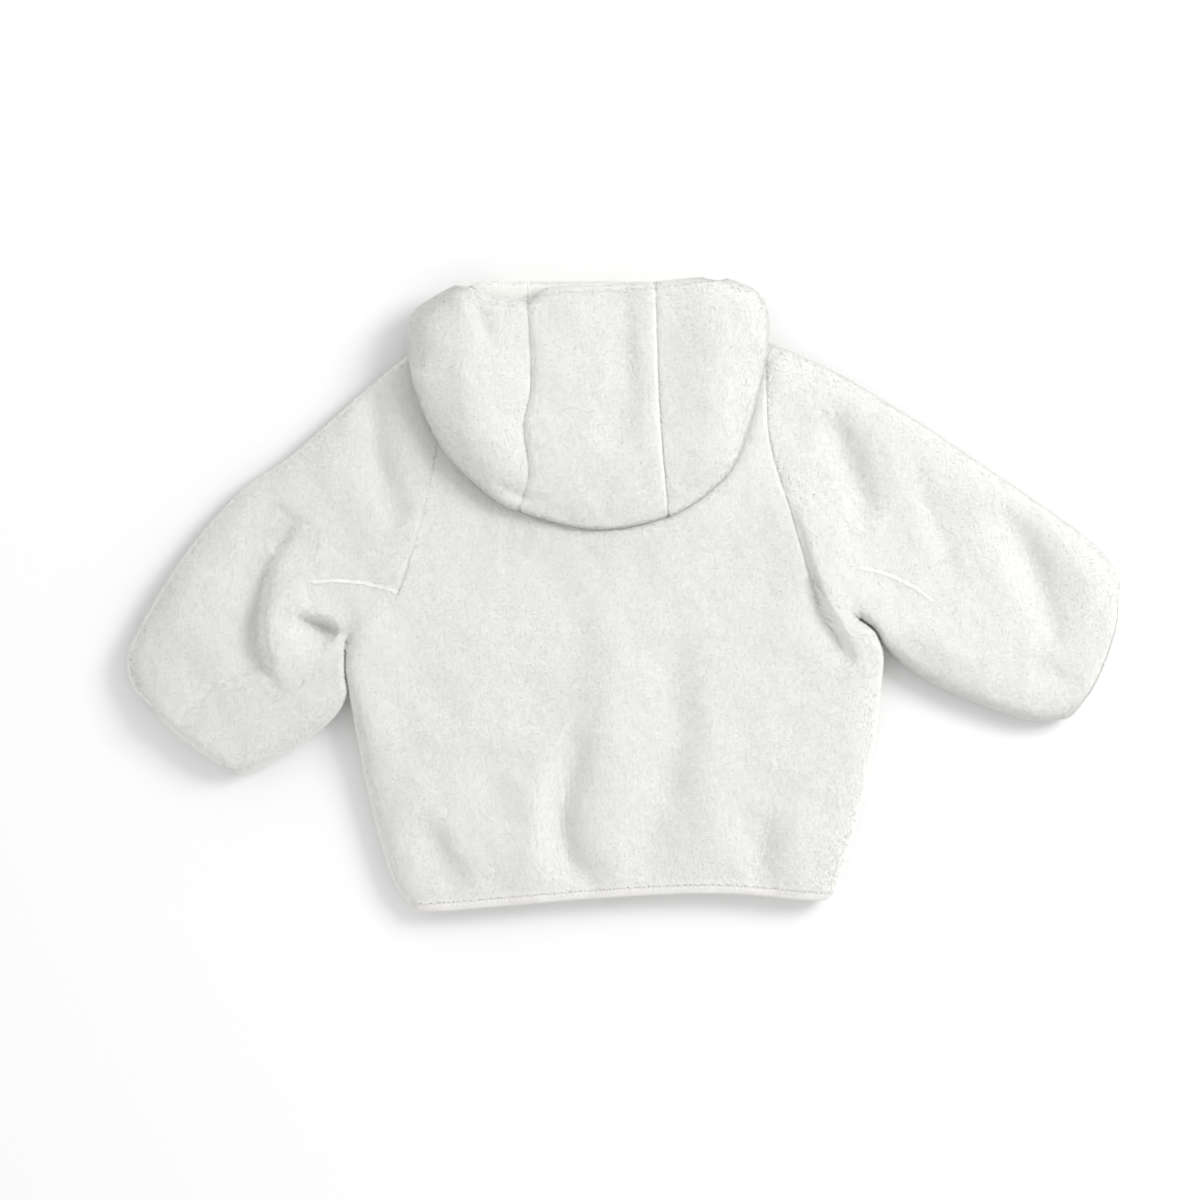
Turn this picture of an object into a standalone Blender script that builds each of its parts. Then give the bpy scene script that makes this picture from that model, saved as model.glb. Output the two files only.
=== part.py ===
"""Baby's plush hooded jacket, laid face down on a surface with its hood folded onto its back.

Everything is in millimetres until the meshes are made. X runs towards the wearer's right,
Y from the hem to the neck, Z up from the surface. Seen from above, each piece of cloth is a
patch between outline curves. A layer's height functions lift a patch to its outer side and,
a wall's thickness further in, to its inner side, so pieces that share a curve fit each other.
"""

from collections import namedtuple

import bmesh
import bpy
import numpy as np

MM = 0.001
COLLECTION = "parka"

# Cloth
WALL = 5.5                 # plush with its pile
THIN_WALL = 2.5            # what is left of the wall under the deepest folds
HOLLOW = 5.2               # least room between a wall and the one below it
SEAM_GAP = 0.3
RING_GAP = 0.45            # the bindings and the stand end in twisted rims, so a little more
GROOVE_DEPTH = 1.8         # seams sink into the pile
GROOVE_WIDTH = 4.0
BINDING_WALL = 4.2
BINDING_INSET = 0.8        # the smooth bindings lie a little below the pile

# Jacket layer
MID_HEIGHT = 9.5           # height of the outermost line of a rounded edge
EDGE_ABOVE = 20.0          # width of the rounding above and below that line
EDGE_BELOW = 12.0
LEAST_ROOF = 13.2

# Hood layer
HOOD_REST = 21.0           # underside of the folded hood, just above the back
HOOD_DEPTH = 17.2
HOOD_MID = 7.6
HOOD_EDGE_ABOVE = 17.0
HOOD_EDGE_BELOW = 10.0

# Front zip
ZIP_X = -9.0
ZIP_HALF = 3.0
ZIP_HEIGHT = 3.4
ZIP_CLEAR = 0.6            # the zip lies this far above the surface
ZIP_BEVEL = 0.8
SLIDER_LENGTH = 12.0
SLIDER_BELOW_TOP = 1.2     # from the slider's end to the top of the stand

# The outlines were measured about a point this far from the middle of the footprint.
CENTRE = np.array((0.17, 0.15))

OUTLINES = {
    "side_left": [(-116, -166), (-126, -151), (-138, -109), (-146, -67), (-150, -40), (-150, -24)],
    "side_right": [(112, -160), (123, -124), (133, -80), (137, -42), (131, -18), (120, -9)],
    "armhole_left": [(-150, -24), (-123, -1), (-111, 36), (-101, 80), (-97, 115), (-96, 146)],
    "armhole_right": [(120, -9), (100, 10), (88, 45), (77, 81), (75, 110), (75, 137)],
    "overarm_left": [(-96, 146), (-138, 112), (-180, 75), (-208, 55), (-237, 22), (-260, -15),
                     (-268, -36), (-262, -54)],
    "underarm_left": [(-150, -24), (-157, -23), (-158, -30), (-153, -46), (-165, -69), (-191, -89),
                      (-207, -95)],
    "overarm_right": [(75, 137), (114, 119), (157, 93), (199, 65), (242, 35), (258, 20), (264, 6)],
    "underarm_right": [(120, -9), (133, -15), (149, -33), (183, -55), (217, -67), (238, -65)],
    "shoulder_left": [(-96, 146), (-84, 152), (-72, 158)],
    "shoulder_right": [(75, 137), (63, 144), (50, 150)],
    "stand_left": [(-72, 158), (-74, 165)],
    "stand_right": [(50, 150), (53, 165)],
    "hem": [(-116, -166), (-47, -160), (7, -156), (55, -155), (112, -160)],
    "hem_edge": [(-114, -171), (-47, -165), (7, -161), (55, -160), (109, -165)],
    "hem_end_left": [(-116, -166), (-114, -171)],
    "hem_end_right": [(112, -160), (109, -165)],
    "cuff_left": [(-262, -54), (-235, -75), (-207, -95)],
    "cuff_edge_left": [(-262, -57.5), (-237, -78), (-209, -98)],
    "cuff_over_left": [(-262, -54), (-262, -57.5)],
    "cuff_under_left": [(-207, -95), (-209, -98)],
    "cuff_right": [(264, 6), (254, -32), (238, -65)],
    "cuff_edge_right": [(268, 2), (258, -34), (242, -66)],
    "cuff_over_right": [(264, 6), (268, 2)],
    "cuff_under_right": [(238, -65), (242, -66)],
    "neck_back": [(-72, 158), (-41, 152), (-12, 150), (20, 148), (50, 150)],
    "neck_front": [(-72, 158), (-52, 128), (-11, 115), (34, 126), (50, 150)],
    "stand_top": [(-74, 165), (-11, 165.5), (53, 165)],
    "hood_left": [(-88, 168), (-114, 152), (-117, 131), (-111, 104), (-96, 75), (-73, 53), (-58, 44)],
    "hood_bottom": [(-58, 44), (-28, 36), (-5, 35), (23, 41)],
    "hood_right": [(50, 171), (72, 160), (76, 136), (69, 102), (58, 70), (43, 54), (23, 41)],
    "hood_seam_left": [(-53, 159), (-51, 113), (-55, 90), (-52, 65), (-58, 44)],
    "hood_seam_right": [(15, 167), (17, 105), (20, 65), (23, 41)],
    "mouth_left": [(-88, 168), (-80, 157), (-68, 156), (-53, 159)],
    "mouth_centre": [(-53, 159), (-40, 165), (-9, 166), (15, 167)],
    "mouth_right": [(15, 167), (34, 169), (50, 171)],
    "under_seam_left": [(-53, 167), (-51, 113), (-55, 90), (-52, 65), (-58, 44)],
    "under_mouth_left": [(-88, 168), (-70, 167), (-53, 167)],
    "under_mouth_centre": [(-53, 167), (-20, 167), (15, 167)],
}

# The outlines of each layer's silhouette, and for each a curve on the cloth's side of it
JACKET_SILHOUETTE = {
    "side_left": "side_right", "side_right": "side_left",
    "overarm_left": "underarm_left", "underarm_left": "overarm_left",
    "overarm_right": "underarm_right", "underarm_right": "overarm_right",
    "shoulder_left": "hem", "shoulder_right": "hem",
    "stand_left": "stand_right", "stand_right": "stand_left",
    "hem_end_left": "hem_end_right", "hem_end_right": "hem_end_left",
    "cuff_over_left": "cuff_under_left", "cuff_under_left": "cuff_over_left",
    "cuff_over_right": "cuff_under_right", "cuff_under_right": "cuff_over_right",
}
HOOD_SILHOUETTE = {
    "hood_left": "hood_seam_right", "hood_bottom": "mouth_centre", "hood_right": "hood_seam_left",
}

# How sharply the way out of a silhouette turns at its corners
EDGE_BLEND = 0.8
EDGE_POWER = 4

# Height of the jacket's upper side where no fold lifts or sinks it
Level = namedtuple("Level", "y height")
JACKET_LEVELS = [Level(-172, 17.5), Level(-140, 20.5), Level(-20, 21.5), Level(25, 19.2), Level(175, 18.0)]

# A fold runs along its path and fades at both ends. Its two widths are to the left and to the
# right of the path, looking along it; its height is over zero for a crest, under for a valley.
Fold = namedtuple("Fold", "name height left right path")
FOLD_ENDS = 0.04           # share of its path that a fold has already faded in at its ends
FADE_POWER = 0.5
JACKET_FOLDS = [
    Fold("crest left of centre", 2.0, 16, 14, [(-55, -70), (-55, -165)]),
    Fold("hooked valley", -5.0, 8, 10, [(-23, -72), (-31, -98), (-35, -120), (-31, -142), (-12, -156)]),
    Fold("centre crest", 2.4, 14, 11, [(-12, 6), (-12, -70), (-11, -165)]),
    Fold("centre valley", -2.8, 14, 14, [(15, -20), (15, -150)]),
    Fold("crest right of centre", 2.4, 14, 12, [(41, -25), (41, -150)]),
    Fold("hem valley", -3.0, 9, 9, [(71, -115), (68, -158)]),
    Fold("hem crest", 2.0, 10, 10, [(92, -110), (92, -160)]),
    Fold("soft valley", -1.6, 12, 12, [(-68, -80), (-68, -125)]),
    Fold("hem crease", -4.5, 5, 10, [(-108, -122), (-84, -157)]),
    Fold("side ridge", 2.6, 11, 11, [(-135, -2), (-134, -66)]),
    Fold("underarm valley right", -6.5, 9, 7, [(92, 16), (101, -3), (111, -20), (127, -42)]),
    Fold("crest at armhole right", 2.0, 12, 12, [(87, 112), (88, 50)]),
    Fold("first sleeve valley", -3.6, 9, 9, [(108, 98), (119, 67), (130, 38)]),
    Fold("first sleeve crest", 2.4, 9, 10, [(135, 92), (148, 60), (160, 28), (167, 4)]),
    Fold("second sleeve valley", -4.4, 6, 7, [(154, 66), (168, 29), (177, 2)]),
    Fold("second sleeve crest", 2.6, 10, 10, [(178, 60), (192, 28), (200, -4)]),
    Fold("third sleeve valley", -5.2, 8, 9, [(199, 50), (213, 24), (223, -4), (229, -28)]),
    Fold("cuff crest", 2.0, 12, 12, [(232, 34), (245, 2), (245, -26)]),
    Fold("cuff crease", -2.6, 5, 5, [(218, -33), (226, -42), (243, -50)]),
    Fold("underarm roll right", 1.8, 9, 9, [(135, -4), (165, -24), (200, -42)]),
    Fold("elbow valley", -7.5, 8, 10, [(-173, 34), (-193, 20), (-202, -4), (-202, -24), (-193, -40)]),
    Fold("elbow roll", 2.6, 11, 11, [(-172, 16), (-184, -3), (-183, -30), (-172, -52)]),
    Fold("underarm pit", -9.0, 8, 8, [(-152, -29), (-163, -20), (-178, -8)]),
    Fold("crease at armhole left", -3.2, 7, 7, [(-135, 105), (-135, 83), (-132, 67), (-125, 45)]),
    Fold("forearm crest", 1.6, 15, 15, [(-228, 16), (-250, -26)]),
]
HOOD_FOLDS = [
    Fold("left panel ridge", 2.4, 12, 12, [(-84, 142), (-79, 105), (-68, 67)]),
    Fold("centre panel valley", -2.4, 9, 9, [(0, 156), (2, 131), (3, 107)]),
    Fold("right panel crest", 2.4, 14, 14, [(47, 158), (47, 105), (39, 67)]),
    Fold("corner crease", -1.8, 6, 6, [(-88, 167), (-80, 148)]),
]
HOOD_DROOPS = [
    Fold("left corner", -12.0, 14, 14, [(-123, 118), (-120, 150), (-96, 174)]),
    Fold("right corner", -6.0, 13, 13, [(50, 180), (80, 168), (86, 140)]),
]
# How far along its under edge a sleeve's section starts, for a share of its upper edge: the
# sections fan out from the underarm, and round the inside of the bent elbow.
Section = namedtuple("Section", "over under")
SLEEVE_SECTIONS = {
    "left": [Section(0, 0), Section(0.3, 0.04), Section(0.55, 0.1), Section(0.75, 0.27),
             Section(0.88, 0.53), Section(1, 1)],
    "right": [Section(0, 0), Section(0.25, 0.04), Section(0.5, 0.3), Section(1, 1)],
}
# Seams that cross a piece, or part two pieces, sink along these outlines and paths.
SLEEVE_SEAMS = {
    "sleeve_seam_left": [(-123, -1), (-152, 8), (-175, 7), (-189, -4), (-192, -24), (-184, -44)],
    "forearm_seam_left": [(-195, -40), (-219, -50), (-239, -66)],
    "sleeve_seam_right": [(100, 14), (135, 10), (158, -1), (172, -9)],
}
OUTLINES.update(SLEEVE_SEAMS)
JACKET_SEAMS = ["armhole_left", "armhole_right"] + list(SLEEVE_SEAMS)
HOOD_SEAMS = ["hood_seam_left", "hood_seam_right"]

Layer = namedtuple("Layer", "silhouette roof_at floor_at mid edge_above edge_below")
Wall = namedtuple("Wall", "outer inner")

Surface = namedtuple("Surface", "colour roughness")
PLUSH = Surface((0.86, 0.85, 0.83, 1.0), 0.95)
BINDING = Surface((0.80, 0.79, 0.77, 1.0), 0.9)
ZIP_PLASTIC = Surface((0.74, 0.73, 0.71, 1.0), 0.6)


# ---------------------------------------------------------------- curves seen from above

def smooth(points, steps=12):
    """A Catmull-Rom curve through the points, as a close polyline."""
    p = np.array(points, float) - CENTRE
    if len(p) == 2:
        return p[0] + np.linspace(0, 1, steps + 1)[:, None] * (p[1] - p[0])
    ends = np.vstack([2 * p[0] - p[1], p, 2 * p[-1] - p[-2]])
    t = np.linspace(0, 1, steps, endpoint=False)[:, None]
    runs = []
    for a, b, c, d in zip(ends, ends[1:], ends[2:], ends[3:]):
        runs.append(0.5 * (2 * b + (c - a) * t + (2 * a - 5 * b + 4 * c - d) * t**2
                           + (3 * b - a - 3 * c + d) * t**3))
    return np.vstack(runs + [p[-1:]])


CURVES = {name: smooth(points) for name, points in OUTLINES.items()}


def shares(line):
    """How far along a polyline each of its points is, from 0 to 1."""
    run = np.concatenate([[0], np.cumsum(np.linalg.norm(np.diff(line, axis=0), axis=1))])
    return run / run[-1]


def along(name, fractions):
    """Points of an outline at fractions of its length."""
    line = CURVES[name]
    s = shares(line)
    return np.stack([np.interp(fractions, s, line[:, k]) for k in (0, 1)], axis=-1)


def across(name, x_from, x_to, fractions):
    """Points of an outline that runs left to right, between two places in X."""
    line = CURVES[name]
    x = x_from + (x_to - x_from) * np.asarray(fractions)
    return np.stack([x, np.interp(x, line[:, 0], line[:, 1])], axis=-1)


def chain(names_and_fractions):
    """Several outlines end to end."""
    runs = [along(name, fractions) for name, fractions in names_and_fractions]
    return np.vstack([runs[0]] + [run[1:] for run in runs[1:]])


def nearest(points, line):
    """Distance to a polyline, share along it, and the side: over zero to its left."""
    start, step = line[:-1], np.diff(line, axis=0)
    length = np.linalg.norm(step, axis=1)
    rel = points[..., None, :] - start
    t = np.clip((rel * step).sum(-1) / length**2, 0, 1)
    gap = rel - t[..., None] * step
    distance = np.linalg.norm(gap, axis=-1)
    best = distance.argmin(-1)[..., None]
    side = step[:, 0] * rel[..., 1] - step[:, 1] * rel[..., 0]
    run = np.concatenate([[0], np.cumsum(length)])
    share = (run[:-1] + t * length) / run[-1]
    return tuple(np.take_along_axis(v, best, -1)[..., 0] for v in (distance, share, side))


# ---------------------------------------------------------------- heights

def fold_height(points, folds):
    """Sum of the folds' heights at points in plan."""
    total = np.zeros(points.shape[:-1])
    for fold in folds:
        distance, share, side = nearest(points, smooth(fold.path))
        width = np.where(side > 0, fold.left, fold.right)
        fade = np.sin(np.pi * np.clip(share, FOLD_ENDS, 1 - FOLD_ENDS)) ** FADE_POWER
        total += fold.height * fade * np.exp(-((distance / width) ** 2))
    return total


def groove_depth(points, seams):
    """How far the pile sinks beside a seam."""
    gap = np.min([nearest(points, CURVES[name])[0] for name in seams], axis=0)
    return GROOVE_DEPTH * np.exp(-((gap / GROOVE_WIDTH) ** 2))


def jacket_roof(points):
    table = np.array(JACKET_LEVELS)
    level = np.interp(points[..., 1], table[:, 0], table[:, 1])
    return np.maximum(level + fold_height(points, JACKET_FOLDS), LEAST_ROOF)


def jacket_floor(points):
    return np.zeros(points.shape[:-1])


def hood_floor(points):
    return HOOD_REST + fold_height(points, HOOD_DROOPS)


def hood_roof(points):
    return hood_floor(points) + HOOD_DEPTH + fold_height(points, HOOD_FOLDS)


def silhouette_segments(silhouette):
    """Start, step and outward normal of every segment of a silhouette."""
    starts, steps, outward = [], [], []
    for name, inside in silhouette.items():
        line = CURVES[name]
        step = np.diff(line, axis=0)
        chord = line[-1] - line[0]
        inward = CURVES[inside].mean(axis=0) - line.mean(axis=0)
        sign = np.sign(chord[0] * inward[1] - chord[1] * inward[0])
        starts.append(line[:-1])
        steps.append(step)
        right = np.stack([step[:, 1], -step[:, 0]], axis=-1)
        outward.append(sign * right / np.linalg.norm(step, axis=1)[:, None])
    return np.vstack(starts), np.vstack(steps), np.vstack(outward)


JACKET = Layer(silhouette_segments(JACKET_SILHOUETTE), jacket_roof, jacket_floor, MID_HEIGHT,
               EDGE_ABOVE, EDGE_BELOW)
HOOD = Layer(silhouette_segments(HOOD_SILHOUETTE), hood_roof, hood_floor, HOOD_MID,
             HOOD_EDGE_ABOVE, HOOD_EDGE_BELOW)


def edge_facts(points, layer):
    """Distance to the layer's silhouette, and the way out of it in plan."""
    start, step, outward = layer.silhouette
    length = np.linalg.norm(step, axis=1)
    rel = points[..., None, :] - start
    t = np.clip((rel * step).sum(-1) / length**2, 0, 1)
    distance = np.linalg.norm(rel - t[..., None] * step, axis=-1)
    weight = length / (distance + EDGE_BLEND) ** EDGE_POWER
    way = (weight[..., None] * outward).sum(-2)
    way /= np.linalg.norm(way, axis=-1)[..., None]
    return distance.min(-1), way


def lift(points, layer, upper, seams=(), wall=WALL, inset=0.0):
    """Raise plan points to a layer's upper or lower side, with the wall's inner side."""
    distance, way = edge_facts(points, layer)
    roof, floor = layer.roof_at(points), layer.floor_at(points)
    mid = floor + layer.mid
    lean = np.clip(1 - distance / (layer.edge_above if upper else layer.edge_below), 0, 1)
    rise = np.sqrt(1 - lean**2)
    thickness = wall
    if upper:
        height = mid + (roof - mid) * rise
        thickness = np.clip(roof - floor - inset - WALL - HOLLOW, THIN_WALL, wall)
    else:
        height = mid - (mid - floor) * rise
    sink = inset + (groove_depth(points, seams) if seams and upper else 0.0)
    sign = 1.0 if upper else -1.0
    normal = np.concatenate([way * lean[..., None], (sign * rise)[..., None]], axis=-1)
    skin = np.concatenate([points, height[..., None]], axis=-1)
    outer = skin - normal * np.asarray(sink)[..., None]
    inner = skin - normal * np.asarray(inset + thickness)[..., None]
    return Wall(outer, inner)


# ---------------------------------------------------------------- patches and walls

def patch(bottom, top, left, right, fade=1):
    """A Coons patch in plan between four outlines: rows go up, columns go right.

    fade is how soon the rows lose the bends of the first and last one.
    """
    u = 0.5 * (shares(bottom) + shares(top))[None, :, None]
    v = 0.5 * (shares(left) + shares(right))[:, None, None]
    sides = (1 - u) * left[:, None] + u * right[:, None]
    bottom_bend = bottom - (1 - u[0]) * bottom[0] - u[0] * bottom[-1]
    top_bend = top - (1 - u[0]) * top[0] - u[0] * top[-1]
    return sides + (1 - v) ** fade * bottom_bend + v ** fade * top_bend


BENDS = 1 - np.cos(np.radians((0, 24, 46, 68, 90)))     # places on a rounded edge


def edge_spread(width, edge, middle):
    """Fractions across a section: close together where both its edges round, even between."""
    bends = edge * BENDS / width
    inside = np.linspace(bends[-1], 1 - bends[-1], middle + 2)[1:-1]
    return np.concatenate([bends, inside, 1 - bends[::-1]])


def one_sided_spread(width, edge, middle):
    """The same, with a rounded edge at the start only."""
    bends = edge * BENDS / width
    return np.concatenate([bends, np.linspace(bends[-1], 1, middle + 2)[1:]])


def move(wall, rows, cols, shift):
    """Shift part of a wall's grid, both sides alike."""
    wall.outer[rows, cols] += shift
    wall.inner[rows, cols] += shift


def plan_normals(line):
    """Unit vectors to the left of a polyline in plan, with no height."""
    step = np.gradient(line[..., :2], axis=0)
    step /= np.linalg.norm(step, axis=1)[:, None]
    return np.stack([-step[:, 1], step[:, 0], np.zeros(len(step))], axis=-1)


def join(first, second, axis):
    """Two walls that share their last and first line, as one grid."""
    keep = (slice(1, None), slice(None)) if axis == 0 else (slice(None), slice(1, None))
    return Wall(*(np.concatenate([a, b[keep]], axis=axis) for a, b in zip(first, second)))


def rim(mesh, outer_line, inner_line):
    """Close a wall between two lines. Which way a twisted quad is cut depends on its place
    alone, so that the rims on the two sides of a seam stay parallel."""
    for a, b, c, d in zip(outer_line, outer_line[1:], inner_line, inner_line[1:]):
        if a.co.x + 2 * a.co.y > b.co.x + 2 * b.co.y:
            a, b, c, d = b, a, d, c
        mesh.faces.new((a, b, d))
        mesh.faces.new((a, d, c))


def wall_object(name, wall, surface, closed=False):
    """Loft a closed wall from its outer and inner grids. A closed grid's columns run round."""
    mesh = bmesh.new()
    grids = []
    for points in wall:
        grid = [[mesh.verts.new(p * MM) for p in row] for row in points]
        if closed:
            grid = [row + row[:1] for row in grid]
        for low, high in zip(grid, grid[1:]):
            for a, b, c, d in zip(low, low[1:], high[1:], high):
                mesh.faces.new((a, b, c, d))
        grids.append(grid)
    outer, inner = grids
    for row in (0, -1):
        rim(mesh, outer[row], inner[row])
    if not closed:
        for column in (0, -1):
            rim(mesh, [row[column] for row in outer], [row[column] for row in inner])
    bmesh.ops.recalc_face_normals(mesh, faces=mesh.faces)
    data = bpy.data.meshes.new(name)
    mesh.to_mesh(data)
    mesh.free()
    data.materials.append(material(name, surface))
    bpy.data.collections[COLLECTION].objects.link(bpy.data.objects.new(name, data))


def material(name, surface):
    made = bpy.data.materials.new(name)
    made.use_nodes = True
    shader = made.node_tree.nodes["Principled BSDF"]
    shader.inputs["Base Color"].default_value = surface.colour
    shader.inputs["Roughness"].default_value = surface.roughness
    shader.inputs["Metallic"].default_value = 0.0
    return made


# ---------------------------------------------------------------- pieces

HALF_GAP = SEAM_GAP / 2
UP = np.array((0.0, 0.0, HALF_GAP))
SIDE_ROWS = np.linspace(0, 1, 10)
ARMHOLE = edge_spread(165, EDGE_ABOVE, 6)
SHOULDER_ROWS = np.linspace(0, 1, 4)
BACK_COLUMNS = edge_spread(265, EDGE_ABOVE, 17)
FRONT_COLUMNS = one_sided_spread(130, EDGE_BELOW, 4)
SLEEVE_FADE = 3
STAND_FADE = 2
SLEEVE_ROWS = {"left": np.linspace(0, 1, 22), "right": np.linspace(0, 1, 18)}
HOOD_TIP = 0.16            # share of the hood's length whose rows draw together towards its fold
HOOD_ROWS = np.concatenate([np.linspace(0, 1 - HOOD_TIP, 9),
                            1 - HOOD_TIP * np.array((0.66, 0.36, 0.16, 0.05))])
HOOD_SIDE_COLUMNS = one_sided_spread(42, HOOD_EDGE_ABOVE, 2)
HOOD_CENTRE_COLUMNS = np.linspace(0, 1, 9)


def body_border(side):
    """A body panel's outline from hem to neck point: side seam, armhole and shoulder."""
    return chain([(f"side_{side}", SIDE_ROWS), (f"armhole_{side}", ARMHOLE),
                  (f"shoulder_{side}", SHOULDER_ROWS)])


ARMHOLE_START = len(SIDE_ROWS) - 1
ARMHOLE_END = ARMHOLE_START + len(ARMHOLE) - 1


def part_border(wall, column, side, away):
    """Draw a body panel's border back from the sleeve, and from the other body panel."""
    rows = np.arange(wall.outer.shape[0])
    held = (rows >= ARMHOLE_START) & (rows <= ARMHOLE_END)
    inward = -1.0 if side == "left" else 1.0
    normals = plan_normals(along(f"armhole_{side}", ARMHOLE)) * HALF_GAP * inward
    move(wall, rows[held], column, normals)
    split = (rows <= ARMHOLE_START) | (rows >= ARMHOLE_END)
    move(wall, rows[split], column, away)


def back():
    left, right = body_border("left"), body_border("right")
    hem = across("hem", left[0, 0], right[0, 0], BACK_COLUMNS)
    neck = across("neck_back", left[-1, 0], right[-1, 0], BACK_COLUMNS)
    wall = lift(patch(hem, neck, left, right), JACKET, True, JACKET_SEAMS)
    part_border(wall, 0, "left", UP)
    part_border(wall, -1, "right", UP)
    return wall


def front(side):
    border = body_border(side)
    edge_x = ZIP_X + (-ZIP_HALF if side == "left" else ZIP_HALF)
    hem = across("hem", border[0, 0], edge_x, FRONT_COLUMNS)
    neck = across("neck_front", border[-1, 0], edge_x, FRONT_COLUMNS)
    opening = hem[-1] + shares(border)[:, None] * (neck[-1] - hem[-1])
    wall = lift(patch(hem, neck, border, opening), JACKET, False)
    part_border(wall, 0, side, -UP)
    return wall


def tube(under, over, start, end, seams=(), wall=WALL, inset=0.0, fade=1):
    """A flattened tube of the jacket layer, its columns running over the top and back below."""
    plan = patch(start, end, under, over, fade)
    above = lift(plan, JACKET, True, seams, wall, inset)
    below = lift(plan, JACKET, False, (), wall, inset)
    back_again = [grid[:, -2:0:-1] for grid in below]
    return Wall(*(np.concatenate(pair, axis=1) for pair in zip(above, back_again)))


def sleeve(side):
    rows = SLEEVE_ROWS[side]
    armhole = along(f"armhole_{side}", ARMHOLE)
    cuff = along(f"cuff_{side}", ARMHOLE)[::-1]
    sections = np.array(SLEEVE_SECTIONS[side])
    under = np.interp(rows, sections[:, 0], sections[:, 1])
    made = tube(along(f"underarm_{side}", under), along(f"overarm_{side}", rows), armhole, cuff,
                JACKET_SEAMS, fade=SLEEVE_FADE)
    outward = 1.0 if side == "left" else -1.0
    normals = plan_normals(armhole) * HALF_GAP * outward
    move(made, 0, slice(None), np.concatenate([normals, normals[-2:0:-1]]))
    return made


def cuff_binding(side):
    cuff = along(f"cuff_{side}", ARMHOLE)[::-1]
    edge = along(f"cuff_edge_{side}", ARMHOLE)[::-1]
    steps = np.linspace(0, 1, 3)
    made = tube(along(f"cuff_under_{side}", steps), along(f"cuff_over_{side}", steps), cuff, edge,
                (), BINDING_WALL, BINDING_INSET)
    away = edge.mean(axis=0) - cuff.mean(axis=0)
    away = np.append(away, 0.0) * RING_GAP / np.linalg.norm(away)
    move(made, 0, slice(None), away)
    return made


def split_ring(back_lines, front_lines, borders, away, wall, inset=0.0, fade=1):
    """A flattened ring that the zip parts: lower side left, upper side, lower side right.

    Each pair of lines names the outline on the jacket and the one at the ring's far edge.
    away is 1 for a ring above its seam and -1 for one below it.
    """
    left, right = borders
    start, finish = (across(name, left[k, 0], right[k, 0], BACK_COLUMNS)
                     for name, k in zip(back_lines, (0, -1)))
    upper = lift(patch(start, finish, left, right), JACKET, True, (), wall, inset)
    move(upper, 0, slice(None), plan_normals(start) * RING_GAP * away)
    lower = []
    for border, end, turn in ((left, ZIP_X - ZIP_HALF, away), (right, ZIP_X + ZIP_HALF, -away)):
        start, finish = (across(name, border[k, 0], end, FRONT_COLUMNS)
                         for name, k in zip(front_lines, (0, -1)))
        opening = start[-1] + shares(border)[:, None] * (finish[-1] - start[-1])
        half = lift(patch(start, finish, border, opening, fade), JACKET, False, (), wall, inset)
        move(half, 0, slice(None), plan_normals(start) * RING_GAP * turn)
        lower.append(half)
    mirrored = Wall(*(grid[:, ::-1] for grid in lower[0]))
    return join(join(mirrored, upper, 1), lower[1], 1)


def hem_binding():
    steps = np.linspace(0, 1, 3)
    borders = [along(f"hem_end_{side}", steps) for side in ("left", "right")]
    lines = ("hem", "hem_edge")
    return split_ring(lines, lines, borders, -1.0, BINDING_WALL, BINDING_INSET)


def neck_stand():
    steps = np.linspace(0, 1, 5)
    borders = [along(f"stand_{side}", steps) for side in ("left", "right")]
    return split_ring(("neck_back", "stand_top"), ("neck_front", "stand_top"), borders, 1.0,
                      WALL, fade=STAND_FADE)


def hood_line(kind, place, upper):
    """The outline of a hood seam or mouth. The lower layer has its own where it differs."""
    own = f"under_{kind}_{place}"
    if own in OUTLINES and not upper:
        return own
    return f"hood_seam_{place}" if kind == "seam" else f"mouth_{place}"


def hood_side(side):
    """A side of the hood, from its seam over the fold at the outline and back below."""
    outline = along(f"hood_{side}", HOOD_ROWS)
    away = -1.0 if side == "left" else 1.0
    halves = []
    for upper in (True, False):
        seam = along(hood_line("seam", side, upper), HOOD_ROWS)
        mouth = across(hood_line("mouth", side, upper), outline[0, 0], seam[0, 0], HOOD_SIDE_COLUMNS)
        tip = outline[-1] + HOOD_SIDE_COLUMNS[:, None] * (seam[-1] - outline[-1])
        half = lift(patch(mouth, tip, outline, seam), HOOD, upper, HOOD_SEAMS)
        move(half, slice(None), -1, plan_normals(seam) * HALF_GAP * away)
        halves.append(half)
    flipped = Wall(*(grid[:, ::-1] for grid in halves[0]))
    return join(flipped, halves[1], 1)


def hood_centre():
    """The hood's middle strip, from its face edge over the fold at the crown and back below."""
    rows = np.append(HOOD_ROWS, 1.0)
    halves = []
    for upper in (True, False):
        left, right = (along(hood_line("seam", side, upper), rows) for side in ("left", "right"))
        mouth, fold = (across(name, left[k, 0], right[k, 0], HOOD_CENTRE_COLUMNS) for name, k in
                       ((hood_line("mouth", "centre", upper), 0), ("hood_bottom", -1)))
        half = lift(patch(mouth, fold, left, right), HOOD, upper, HOOD_SEAMS)
        for column, seam, away in ((0, left, 1.0), (-1, right, -1.0)):
            move(half, slice(None), column, plan_normals(seam) * HALF_GAP * away)
        halves.append(half)
    return join(halves[0], Wall(*(grid[::-1] for grid in halves[1])), 0)


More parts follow.
